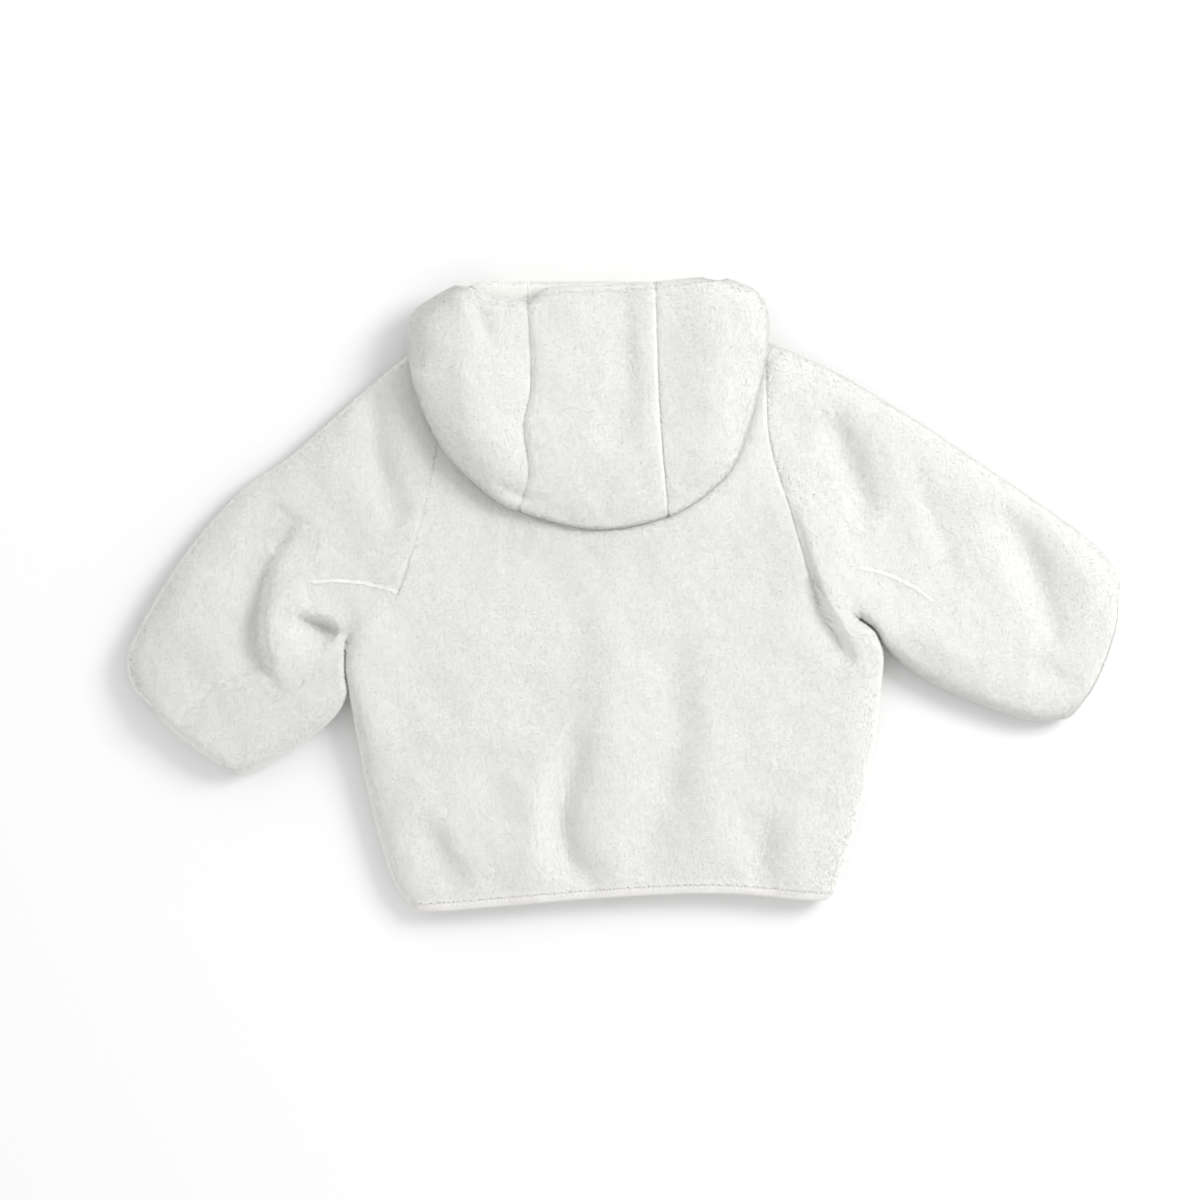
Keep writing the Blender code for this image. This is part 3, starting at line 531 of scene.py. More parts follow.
def grid_faces(rows, cols, closed=False, flip=False):
    """Corner numbers of a grid's quads."""
    number = np.arange(rows * cols).reshape(rows, cols)
    if closed:
        number = np.hstack([number, number[:, :1]])
    quads = np.stack([number[:-1, :-1], number[:-1, 1:], number[1:, 1:], number[1:, :-1]], -1).reshape(-1, 4)
    return quads[:, ::-1] if flip else quads


def grid_normals(grid, closed=False, flip=False):
    """Unit normals at a grid's points."""
    if closed:
        wide = np.concatenate([grid[:, -1:], grid, grid[:, :1]], axis=1)
        across_step = (wide[:, 2:] - wide[:, :-2]) / 2
    else:
        across_step = np.gradient(grid, axis=1)
    normal = unit(np.cross(across_step, np.gradient(grid, axis=0)))
    return -normal if flip else normal


def add_object(name, data):
    made = bpy.data.objects.new(name, data)
    bpy.context.scene.collection.objects.link(made)
    return made


def make_mesh(name, points, faces, material, normals=None):
    """An object from arrays, in millimetres, all of whose faces have as many corners."""
    data = bpy.data.meshes.new(name)
    count, corners = faces.shape
    data.vertices.add(len(points))
    data.vertices.foreach_set("co", (np.asarray(points) * MM).astype(np.float32).ravel())
    data.loops.add(count * corners)
    data.loops.foreach_set("vertex_index", faces.astype(np.int32).ravel())
    data.polygons.add(count)
    data.polygons.foreach_set("loop_start", np.arange(0, count * corners, corners, dtype=np.int32))
    data.polygons.foreach_set("use_smooth", np.full(count, True))
    data.update(calc_edges=True)
    if normals is not None:
        chosen = data.attributes.new("custom_normal", "FLOAT_VECTOR", "POINT")
        chosen.data.foreach_set("vector", normals.astype(np.float32).ravel())
    data.materials.append(material)
    piece = add_object(name, data)
    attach(piece, "root")
    return piece


def shell(name, sheet, material, closed=False, flip=False):
    """The closed wall between a sheet's backing and its inner side."""
    rows, cols = sheet.base.shape[:2]
    outer = grid_faces(rows, cols, closed, flip)
    inner = grid_faces(rows, cols, closed, not flip) + rows * cols
    number = np.arange(rows * cols).reshape(rows, cols)
    rims = []
    loops = [(number[0], False), (number[-1], True)]
    if closed:
        loops = [(np.append(line, line[0]), turn) for line, turn in loops]
    else:
        loops += [(number[:, 0], True), (number[:, -1], False)]
    for line, turn in loops:
        a, b = line[:-1], line[1:]
        quad = np.stack([b, a, a + rows * cols, b + rows * cols], -1)
        rims.append(quad[:, ::-1] if turn != flip else quad)
    points = np.concatenate([sheet.base.reshape(-1, 3), sheet.inner.reshape(-1, 3)])
    return make_mesh(name, points, np.vstack([outer, inner] + rims), material)


# -------- pile

TUFT_RUN = 2.0
TUFT_WIDTH = 0.85
TUFT_AHEAD = 0.55          # share of its run that a tuft lies ahead of its place
ROOT_DEPTH = 0.15
PROUD = 0.12               # spread of the heights at which tufts end
LEAST_PROUD = -0.4
MOST_PROUD = 0.9
LEAST_HEIGHT = 0.05        # no tuft goes through the surface
NAP_SPREAD = 0.05          # how far a tuft's shading turns from the cloth's
EDGE_GLOW = 0.70           # fibre ends that stand up from a steep side catch light from above
EDGE_FLUFF = 3.2           # how much more the tufts stand out on a steep side
EDGE_NAP = 0.9             # and how much more their shading varies there
PULLED = (1.0, 0.8, 0.5)   # share of the seam's pull on the first quads beside it
GRAVITY = 2.2              # how strongly the pile hangs down on steep sides
SEAM_PULL = 2.2            # how strongly it lies away from a sewn side

# Sides of a piece's grid: whether it is a column, whether it is the last one, which way the pile lies
SIDES = {"start": (True, False, 1), "end": (True, True, -1), "low": (False, False, 1),
         "over_low": (False, False, -1), "over_high": (False, True, 1)}


def seam_pull(grid, sides, closed):
    """Vectors into the piece beside its sewn sides, out of it at its ends over a binding."""
    wrap = np.concatenate([grid, grid[:, :1]], axis=1) if closed else grid
    pull = np.zeros((len(wrap) - 1, wrap.shape[1] - 1, 3))
    across_step, up_step = unit(np.diff(wrap, axis=1)[:-1]), unit(np.diff(wrap, axis=0)[:, :-1])
    for side, first, last in sides:
        in_column, at_end, way = SIDES[side]
        part, steps = slice(first, last), across_step if in_column else up_step
        for k, share in enumerate(PULLED):
            line = -1 - k if at_end else k
            cells = (part, line) if in_column else (line, part)
            pull[cells] += steps[cells] * share * way
    return pull


def tufts(name, sheet, per_mm2, seed, material, closed, flip, keep, pull=None):
    """Pile: one narrow triangle a tuft, from a sheet's backing to the ends of its pile.

    A tuft is shaded nearly as the cloth under it, so the pile looks soft. It hangs down on steep
    sides and lies away from sewn sides, as pull says. keep gives the share of tufts to keep at points.
    """
    rng = np.random.default_rng(seed)
    rows, cols = sheet.tip.shape[:2]
    quads = grid_faces(rows, cols, closed)
    tip, base = sheet.tip.reshape(-1, 3)[quads], sheet.base.reshape(-1, 3)[quads]
    facing = grid_normals(sheet.skin, closed, flip).reshape(-1, 3)[quads]
    area = np.linalg.norm(np.cross(tip[:, 2] - tip[:, 0], tip[:, 3] - tip[:, 1]), axis=1) / 2
    wanted = area * per_mm2
    if keep is not None:
        wanted = wanted * keep(tip.mean(axis=1))
    pick = np.repeat(np.arange(len(quads)), np.floor(wanted + rng.random(len(quads))).astype(int))
    n = len(pick)
    u, v = rng.random((2, n, 1))
    weights = [(1 - u) * (1 - v), u * (1 - v), u * v, (1 - u) * v]
    end, root, normal = (sum(w * corner[pick, k] for k, w in enumerate(weights))
                         for corner in (tip, base, facing))
    normal = unit(normal)
    lean = rng.normal(size=(n, 3))
    if pull is not None:
        lean += pull.reshape(-1, 3)[pick] * SEAM_PULL
    lean[:, 2] -= GRAVITY * (1 - np.abs(normal[:, 2]))
    lean = unit(lean - normal * (lean * normal).sum(1, keepdims=True))
    side = np.cross(normal, lean)
    run = TUFT_RUN * rng.uniform(0.75, 1.25, (n, 1))
    steep = 1 - np.abs(normal[:, 2:])
    proud = rng.normal(0, PROUD, (n, 1)) * (1 + EDGE_FLUFF * steep)
    end = end + normal * proud.clip(LEAST_PROUD, MOST_PROUD) + lean * run * TUFT_AHEAD
    root = root - normal * ROOT_DEPTH - lean * run * (1 - TUFT_AHEAD)
    half = (side + normal * rng.uniform(-0.1, 0.1, (n, 1))) * TUFT_WIDTH * rng.uniform(0.3, 0.65, (n, 1))
    corners = np.stack([root + half, root - half, end], axis=1)
    corners[..., 2] = np.maximum(corners[..., 2], LEAST_HEIGHT)
    turned = normal + rng.normal(0, NAP_SPREAD, (n, 3)) * (1 + EDGE_NAP * steep)
    turned[:, 2] += EDGE_GLOW * steep[:, 0]
    faces = np.arange(3 * n).reshape(n, 3)
    return make_mesh(name, corners.reshape(-1, 3), faces, material, np.repeat(unit(turned), 3, axis=0))


# -------- materials

Bump = namedtuple("Bump", "scale strength depth kind more", defaults=("ShaderNodeTexNoise", {"Detail": 6.0}))


def set_inputs(node, values):
    for name, value in values.items():
        node.inputs[name].default_value = value


def new_material(name, colour, roughness, inputs=None):
    """A plain material, with its node tree and its shader."""
    made = bpy.data.materials.new(name)
    made.use_nodes = True
    shader = made.node_tree.nodes["Principled BSDF"]
    set_inputs(shader, {"Base Color": (*colour, 1.0), "Roughness": roughness, **(inputs or {})})
    return made, made.node_tree, shader


def texture(tree, kind, inputs):
    """A texture in the object's own space."""
    place, made = tree.nodes.new("ShaderNodeTexCoord"), tree.nodes.new(kind)
    set_inputs(made, inputs)
    tree.links.new(place.outputs["Object"], made.inputs["Vector"])
    return made


def look(name, colour, roughness, shades, scale, detail=4.0, bump=None, inputs=None):
    """A material that noise varies between two shades, with bump where it's given."""
    made, tree, shader = new_material(name, colour, roughness, inputs)
    noise = texture(tree, "ShaderNodeTexNoise", {"Scale": scale, "Detail": detail})
    ramp = tree.nodes.new("ShaderNodeValToRGB")
    for stop, position, shade in zip(ramp.color_ramp.elements, (0.3, 0.7), shades):
        stop.position, stop.color = position, (*shade, 1.0)
    tree.links.new(noise.outputs["Fac"], ramp.inputs["Fac"])
    tree.links.new(ramp.outputs["Color"], shader.inputs["Base Color"])
    if bump:
        grain = texture(tree, bump.kind, {"Scale": bump.scale, **bump.more})
        relief = tree.nodes.new("ShaderNodeBump")
        set_inputs(relief, {"Strength": bump.strength, "Distance": bump.depth})
        tree.links.new(grain.outputs["Fac"], relief.inputs["Height"])
        tree.links.new(relief.outputs["Normal"], shader.inputs["Normal"])
    return made


PILE_SHADES = np.array(((0.862, 0.859, 0.829), (0.897, 0.894, 0.867)))
HOOD_SLEEVE_SHADE_TONE = 0.965          # painted shade: hood and sleeves, the same cloth as the body, get a trace darker pile
LINING_TONE = 0.89         # little light reaches into the hood
NAP = {"Sheen Weight": 0.15, "Specular IOR Level": 0.15}
WOVEN = {"Sheen Weight": 0.1}

PLUSH_PILE, SHADED_PILE, LINING_PLUSH = (
    look(name, (0.87, 0.865, 0.84), 1.0, tone * PILE_SHADES, 260.0, 3.0, inputs=NAP)
    for name, tone in (("plush_pile", 1.0), ("plush_pile_shaded", HOOD_SLEEVE_SHADE_TONE), ("plush_lining", LINING_TONE)))
# the backing is a trace darker than the pile: painted shade at the pile's roots and in the gaps between
# tufts
BACKING = look("plush_backing_shaded", (0.86, 0.855, 0.84), 1.0, ((0.82, 0.815, 0.785), (0.86, 0.855, 0.825)),
               320.0, bump=Bump(1500.0, 0.6, 0.0006),
               inputs={"Sheen Weight": 0.2, "Specular IOR Level": 0.15})
# painted shade: the binding is the plush's own cream, and its shades are darkened to the shade it lies in
# under the plush's edge
SHADED_BINDING = look("stretch_binding_shaded", (0.88, 0.875, 0.86), 0.75, ((0.70, 0.69, 0.665), (0.75, 0.74, 0.715)),
               180.0, bump=Bump(420.0, 0.35, 0.0002, "ShaderNodeTexWave", {"Distortion": 1.5}),
               inputs={"Sheen Weight": 0.15})
ZIP_PLASTIC = look("zip_plastic", (0.80, 0.79, 0.77), 0.4, ((0.78, 0.77, 0.75), (0.82, 0.81, 0.79)), 90.0,
                   bump=Bump(900.0, 0.15, 0.0001))
TAPE = look("zip_tape", (0.81, 0.80, 0.77), 0.8, ((0.76, 0.75, 0.72), (0.81, 0.80, 0.77)), 700.0,
            bump=Bump(2600.0, 0.4, 0.0001), inputs=WOVEN)
THREAD = look("thread", (0.86, 0.85, 0.82), 0.8, ((0.80, 0.79, 0.76), (0.86, 0.85, 0.82)), 900.0,
              bump=Bump(2600.0, 0.4, 0.0001), inputs=WOVEN)


# -------- cut pieces

NEAR_SEAM = np.array((0, 0.45, 0.9, 1.4, 2.0, 2.9, 4.2))     # steps away from a sewn side, mm


def seam_first(width, fractions):
    """Put close steps at the start of a run of fractions across a width."""
    return np.concatenate([NEAR_SEAM / width, fractions[fractions * width > NEAR_SEAM[-1] + 1]])


def seam_last(width, fractions):
    return 1 - seam_first(width, 1 - fractions[::-1])[::-1]


# Fractions for the rows and columns of the pieces. Their widths, in mm, are rough
SIDE_ROWS = seam_first(160, np.linspace(0, 1, 46))
ARMHOLE = edge_spread(165, EDGE_ABOVE, 9, 28)
SHOULDER_ROWS = np.linspace(0, 1, 8)
BACK_COLUMNS = edge_spread(265, EDGE_ABOVE, 9, 66)
FRONT_COLUMNS = edge_spread(130, EDGE_BELOW, 7, 16, both=False)
SLEEVE_ROWS = {
    "left": seam_first(190, seam_last(190, np.linspace(0, 1, 78))),
    "right": seam_first(170, seam_last(170, np.linspace(0, 1, 66))),
}
# They come closer together where the hood turns over at its lower edge
HOOD_ROWS = np.concatenate([np.linspace(0, 0.84, 34), 1 - 0.16 * np.linspace(0.92, 0, 14)[:-1] ** 1.4])
HOOD_SIDE_COLUMNS = seam_last(55, edge_spread(55, HOOD_EDGE_ABOVE, 9, 14, both=False))
HOOD_CENTRE_COLUMNS = seam_first(70, seam_last(70, np.linspace(0, 1, 28)))
HEM_STEPS = 9
CUFF_STEPS = 9
STAND_STEPS = 14
SLEEVE_FADE = 3
STAND_FADE = 2
UP = np.array((0.0, 0.0, HALF_GAP))


def body_border(side):
    """A body panel's outline from hem to neck point: side seam, armhole and shoulder."""
    seam, *others = (along(f"{name}_{side}", rows) for name, rows in (
        ("side", SIDE_ROWS), ("armhole", ARMHOLE), ("shoulder", SHOULDER_ROWS)))
    return np.vstack([seam] + [run[1:] for run in others])


ARMHOLE_START = len(SIDE_ROWS) - 1
ARMHOLE_END = ARMHOLE_START + len(ARMHOLE) - 1


def part_border(sheet, column, side, away):
    """Draw a body panel's border back from the sleeve, and from the other body panel."""
    rows = np.arange(len(sheet.base))
    held = (rows >= ARMHOLE_START) & (rows <= ARMHOLE_END)
    inward = plan_normals(along(f"armhole_{side}", ARMHOLE)) * HALF_GAP * OUTWARD[side]
    move(sheet, rows[held], column, inward)
    move(sheet, rows[(rows <= ARMHOLE_START) | (rows >= ARMHOLE_END)], column, away)


def borders_above(low, high, left, right):
    """Borders of a part on top: its low and high outlines from side to side, and its sides."""
    low, high = (across(name, left[k, 0], right[k, 0], BACK_COLUMNS) for name, k in ((low, 0), (high, -1)))
    return low, high, left, right


def borders_below(low, high, border, side):
    """The same of a part below, from its side to the zip's edge."""
    edge = ZIP_X + OUTWARD[side] * ZIP_HALF
    low, high = (across(name, border[k, 0], edge, FRONT_COLUMNS) for name, k in ((low, 0), (high, -1)))
    return low, high, border, low[-1] + shares(border)[:, None] * (high[-1] - low[-1])


def back():
    borders = borders_above("hem", "neck_back", body_border("left"), body_border("right"))
    sheet = lift(patch(*borders), JACKET, True)
    part_border(sheet, 0, "left", UP)
    part_border(sheet, -1, "right", UP)
    return sheet


def front(side):
    sheet = lift(patch(*borders_below("hem", "neck_front", body_border(side), side)), JACKET, False)
    part_border(sheet, 0, side, -UP)
    return sheet


def tube(plan, **cloth):
    """A flattened tube: its columns run over the top and back below."""
    top, bottom = (lift(plan, JACKET, upper, **cloth) for upper in (True, False))
    return Sheet(*(np.concatenate([a, b[:, -2:0:-1]], axis=1) for a, b in zip(top, bottom)))


def sleeve(side):
    rows = SLEEVE_ROWS[side]
    under = along(f"underarm_{side}", np.interp(rows, *SLEEVE_SECTIONS[side]))
    end = along(f"plush_end_{side}", ARMHOLE)[::-1]
    armhole = along(f"armhole_{side}", ARMHOLE)
    made = tube(patch(armhole, end, under, along(f"overarm_{side}", rows), SLEEVE_FADE),
                mouth=CURVES[f"plush_end_{side}"])
    away = plan_normals(armhole) * HALF_GAP * -OUTWARD[side]
    move(made, 0, slice(None), np.concatenate([away, away[-2:0:-1]]))
    return made


def ring(ends, steps, low_above, low_below, high, turn, fade=1, **cloth):
    """A strip round the jacket: lower side left, upper side, lower side right, parted by the zip.

    turn is over zero where it goes on upwards from its seam, and under zero where downwards.
    """
    left, right = (along(f"{ends}_{side}", np.linspace(0, 1, steps)) for side in ("left", "right"))
    parts = []
    for borders, upper, bend, way in (
            (borders_below(low_below, high, left, "left"), False, fade, turn),
            (borders_above(low_above, high, left, right), True, 1, turn),
            (borders_below(low_below, high, right, "right"), False, fade, -turn)):
        part = lift(patch(*borders, bend), JACKET, upper, **cloth)
        move(part, 0, slice(None), plan_normals(borders[0]) * BINDING_GAP * way)
        parts.append(part)
    return join(join(turned_round(parts[0], 1), parts[1], 1), parts[2], 1)


def neck_stand():
    """The hood's neck."""
    return ring("stand", STAND_STEPS, "neck_back", "neck_front", "stand_top", 1.0, STAND_FADE)


def hem_binding():
    return ring("hem_end", HEM_STEPS, "hem", "hem", "hem_edge", -1.0,
                wall=BINDING_WALL, pile=0, inset=BINDING_INSET)


def cuff_binding(side):
    cuff, edge = (along(f"{kind}_{side}", ARMHOLE)[::-1] for kind in ("cuff", "cuff_edge"))
    ends = (along(f"cuff_{place}_{side}", np.linspace(0, 1, CUFF_STEPS)) for place in ("under", "over"))
    made = tube(patch(cuff, edge, *ends), wall=CUFF_WALL, pile=0, inset=CUFF_INSET)
    away = edge.mean(axis=0) - cuff.mean(axis=0)
    move(made, 0, slice(None), np.append(away, 0.0) * BINDING_GAP / np.linalg.norm(away))
    return made


def hood_line(kind, place, upper):
    """The name of a hood seam's or mouth's outline. The lower layer has its own where it differs."""
    own = f"under_{kind}_{place}"
    return own if own in OUTLINES and not upper else f"hood_{kind}_{place}"


def hood_side(side):
    """A side panel: its two layers meet at the hood's outer edge."""
    outline = along(f"hood_{side}", HOOD_ROWS)
    halves = []
    for upper in (True, False):
        seam = along(hood_line("seam", side, upper), HOOD_ROWS)
        name = hood_line("mouth", side, upper)
        mouth = across(name, outline[0, 0], seam[0, 0], HOOD_SIDE_COLUMNS)
        tip = outline[-1] + HOOD_SIDE_COLUMNS[:, None] * (seam[-1] - outline[-1])
        half = lift(patch(mouth, tip, outline, seam), HOOD, upper, mouth=CURVES[name])
        move(half, slice(None), -1, plan_normals(seam) * HALF_GAP * OUTWARD[side])
        halves.append(half)
    return join(turned_round(halves[0], 1), halves[1], 1)


def hood_centre():
    """The centre panel: its two layers meet at the hood's lower edge."""
    halves = []
    for upper in (True, False):
        left, right = (along(hood_line("seam", side, upper), HOOD_ROWS) for side in ("left", "right"))
        name = hood_line("mouth", "centre", upper)
        mouth = across(name, left[0, 0], right[0, 0], HOOD_CENTRE_COLUMNS)
        fold = across("hood_bottom", left[-1, 0], right[-1, 0], HOOD_CENTRE_COLUMNS)
        half = lift(patch(mouth, fold, left, right), HOOD, upper, mouth=CURVES[name])
        move(half, slice(None), 0, plan_normals(left) * HALF_GAP)
        move(half, slice(None), -1, -plan_normals(right) * HALF_GAP)
        halves.append(half)
    return join(halves[0], turned_round(halves[1], 0), 0)


def inside_of(sheet):
    """The lower hood layer's other side, which shows behind the upper layer's dipping edge."""
    backing = sheet.inner * (1 - LINING_PILE) + sheet.base * LINING_PILE
    return Sheet(sheet.inner, backing, sheet.base, sheet.inner)


LIP_ROWS = 9               # rows of a band that turn in at its free edge
LIP_CLOSED = 0.96          # how nearly its two sides meet there


def rolled(sheet):
    """Round a band's free edge: its last rows' outer side turns in to meet the inner one."""
    middle = (sheet.base[-1] + sheet.inner[-1]) / 2
    turn = np.clip(1 - np.arange(len(sheet.base))[::-1, None, None] / LIP_ROWS, 0, 1)
    share = 1 - np.sqrt(1 - turn**2)
    base, inner = (grid + share * (middle - grid[-1]) * LIP_CLOSED for grid in (sheet.base, sheet.inner))
    return sheet._replace(base=base, inner=inner)


def in_polygon(points, line):
    """Whether each point lies inside a closed polyline."""
    x, y = points[:, 0], points[:, 1]
    inside = np.zeros(len(points), bool)
    for (x1, y1), (x2, y2) in zip(line, np.roll(line, -1, axis=0)):
        crosses = (y1 > y) != (y2 > y)
        rise = y2 - y1 if y2 != y1 else 1e-9
        inside ^= crosses & (x < (x2 - x1) * (y - y1) / rise + x1)
    return inside


HOOD_COVER = 9             # the back's pile goes on this far in under the hood
HIDDEN_SHARE = 0.12        # share of the tufts where the piece lies on something
FLAT_BELOW = 2.5           # a sleeve lies on the surface up to this height
HOOD_FLAT_BELOW = HOOD_REST + HOOD_MID - 3
HOOD_RIM = 14              # width of the rim of the hood's underside that can be seen
MOUTH_FROM = 148           # the Y from which the inside of the hood can be seen
MOUTH_BELOW = HOOD_REST + WALL + 2


def uncovered(points):
    """Share of the back's tufts to keep: none where the folded hood hides them."""
    plan = points[:, :2]
    hood = np.vstack([CURVES["hood_left"], CURVES["hood_bottom"], CURVES["hood_right"][::-1]])
    return np.where(in_polygon(plan, hood) & (edge_facts(plan, HOOD)[0] > HOOD_COVER), 0.0, 1.0)


def flattened(points):
    """Share of tufts to keep on a sleeve: few on the side that lies on the surface."""
    return np.where(points[:, 2] < FLAT_BELOW, HIDDEN_SHARE, 1.0)


def near_edge(points):
    """Share of tufts to keep on the hood: few on its hidden underside."""
    distance, _ = edge_facts(points[:, :2], HOOD)
    return np.where((points[:, 2] < HOOD_FLAT_BELOW) & (distance > HOOD_RIM), HIDDEN_SHARE, 1.0)


def near_mouth(points):
    """Share of tufts to keep inside the hood: those that can be seen at the face edge."""
    return np.where((points[:, 1] > MOUTH_FROM) & (points[:, 2] < MOUTH_BELOW), 1.0, 0.0)


PILE_DENSITY = 4.75        # tufts a square millimetre
LINING_DENSITY = 6.0
FRONT_DENSITY = 0.35
STAND_DENSITY = 2.0
SEED_STEP = 10             # between the seeds of two pieces
LINING_SEED = 9            # added for a piece's lining
RIDGE_SEED = 200

# The cloth pieces: grids, the flat cut in metres, whether their columns close, sewn sides, and the pile
Cut = namedtuple("Cut", "node sheet width length area closed flip sides bands density keep",
                 defaults=(False, False, (), 1, PILE_DENSITY, None))
ALL = (None, None)
UNSEEN = 15                # the armhole's first columns, where pile hides the seam at the underarm
ARMHOLE_PART = (ARMHOLE_START + UNSEEN, ARMHOLE_END)
BODY_SIDES = [("start", *ARMHOLE_PART), ("end", *ARMHOLE_PART), ("over_low", *ALL)]
SLEEVE_SIDES = [("low", UNSEEN, len(ARMHOLE)), ("over_high", *ALL)]
PANEL_SIDES = [("start", *ALL), ("end", *ALL)]
CUTS = [
    Cut("back", back(), 0.290, 0.325, 0.0730, sides=BODY_SIDES, bands=3, keep=uncovered),
    Cut("front_left", front("left"), 0.142, 0.325, 0.0345, flip=True, density=FRONT_DENSITY),
    Cut("front_right", front("right"), 0.142, 0.310, 0.0340, density=FRONT_DENSITY),
    Cut("sleeve_left", sleeve("left"), 0.290, 0.215, 0.0410, True, sides=SLEEVE_SIDES, keep=flattened),
    Cut("sleeve_right", sleeve("right"), 0.290, 0.220, 0.0425, True, sides=SLEEVE_SIDES, keep=flattened),
    Cut("hood_side_left", hood_side("left"), 0.100, 0.140, 0.0120, False, True, PANEL_SIDES, keep=near_edge),
    Cut("hood_centre", hood_centre(), 0.075, 0.275, 0.0188, sides=PANEL_SIDES, keep=near_edge),
    Cut("hood_side_right", hood_side("right"), 0.100, 0.140, 0.0118, sides=PANEL_SIDES, keep=near_edge),
    Cut("neck_stand", neck_stand(), 0.280, 0.040, 0.0077, density=STAND_DENSITY),
]
BANDS = [
    Cut("hem_binding", rolled(hem_binding()), 0.455, 0.010, 0.0040, flip=True, bands=0),
    Cut("cuff_binding_left", rolled(cuff_binding("left")), 0.150, 0.010, 0.0007, closed=True, bands=0),
    Cut("cuff_binding_right", rolled(cuff_binding("right")), 0.150, 0.010, 0.0009, closed=True, bands=0),
]


def cut_piece(cut, seed):
    """One cut piece: its wall, and its pile in bands of rows under the limit for a mesh."""
    finish, slot = (BACKING, "plush") if cut.bands else (SHADED_BINDING, "binding")
    cloth = shell(f"{cut.node}_cloth", cut.sheet, finish, cut.closed, cut.flip)
    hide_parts(cut.node)
    # hood and sleeves take the pile with painted shade
    pile_finish = SHADED_PILE if cut.node.startswith(("hood", "sleeve")) else PLUSH_PILE
    pull = seam_pull(cut.sheet.tip, cut.sides, cut.closed)
    breaks = np.linspace(0, len(cut.sheet.tip) - 1, cut.bands + 1).astype(int)
    for k, (low, high) in enumerate(zip(breaks, breaks[1:])):
        band = Sheet(*(grid[low:high + 1] for grid in cut.sheet))
        tufts(f"{cut.node}_pile_{k}", band, cut.density, seed + k, pile_finish, cut.closed,
                           cut.flip, cut.keep, pull[low:high])
    if cut.node.startswith("hood"):
        tufts(f"{cut.node}_lining", inside_of(cut.sheet), LINING_DENSITY, seed + LINING_SEED,
                           LINING_PLUSH, cut.closed, not cut.flip, near_mouth)


# -------- stitches, zip and seam ridges

Bead = namedtuple("Bead", "length width height rings around")
STITCH = Bead(2.3, 0.5, 0.4, 4, 6)
STITCH_PITCH = 3.1
TOOTH = Bead(1.25, 3.1, 2.5, 5, 8)
TOOTH_PITCH = 2.5
TOOTH_SHIFT = 0.55         # a tooth sits this far to its own side of the chain
SLIDER = Bead(10.5, 5.2, 3.2, 9, 16)
SQUARENESS = 0.45          # 1 would be an ellipsoid, 0 a box
STITCH_ROW = 3             # the stitches run along this row of a band
TAPE_THICKNESS = 0.7
TAPE_EDGES = (0.5, 2.7)    # distances from the zip's middle
CHAIN_SHORT = 14           # the chain ends this far below the neck's upper edge
SLIDER_UP = 0.6            # the slider's middle over its room's middle
PULL_WIDTH = 3.6
PULL_LENGTH = 15.0
PULL_DOWN = 3              # the pull starts this far below the slider's upper end
PULL_HEIGHTS = (0.55, 0.1)


def beads(centres, tangents, sides, bead):
    """Points and quads of many rounded boxes, each along its tangent and across its side."""
    def rounded(value):
        return np.sign(value) * np.abs(value) ** SQUARENESS

    tilt = np.linspace(-np.pi / 2, np.pi / 2, bead.rings + 1)[:, None]
    turn = np.linspace(0, 2 * np.pi, bead.around, endpoint=False)[None, :] + np.pi / bead.around
    run = rounded(np.sin(tilt)) * np.ones_like(turn) * bead.length / 2
    wide = rounded(np.cos(tilt)) * rounded(np.cos(turn)) * bead.width / 2
    high = rounded(np.cos(tilt)) * rounded(np.sin(turn)) * bead.height / 2
    ups = np.cross(tangents, sides)
    points = centres[:, None, None] + sum(size[None, ..., None] * way[:, None, None] for size, way in
                                          ((run, tangents), (wide, sides), (high, ups)))
    quads = grid_faces(bead.rings + 1, bead.around, closed=True)
    count = points.shape[1] * points.shape[2]
    faces = (quads[None] + count * np.arange(len(centres))[:, None, None]).reshape(-1, 4)
    return points.reshape(-1, 3), faces[:, ::-1]


def stitches(name, line):
    """A row of stitches along a line in space."""
    run = lengths(line)
    places = np.arange(STITCH_PITCH / 2, run[-1], STITCH_PITCH)
    centres, ahead = (points_at(line, run, places + step) for step in (0, 0.5))
    tangents = unit(ahead - centres)
    sides = unit(np.cross(tangents, (0.0, 0.0, 1.0)) + 1e-6)
    piece = make_mesh(name, *beads(centres, tangents, sides, STITCH), THREAD)


def tape(name, x, y, heights, flip=False):
    """A flat strip of tape, from its places across and along and the heights of its sides."""
    x, y = np.meshgrid(x, y)
    top, bottom = (np.stack([x, y, np.full_like(x, height)], -1) for height in heights)
    shell(name, Sheet(top, top, bottom, top), TAPE, flip=flip)


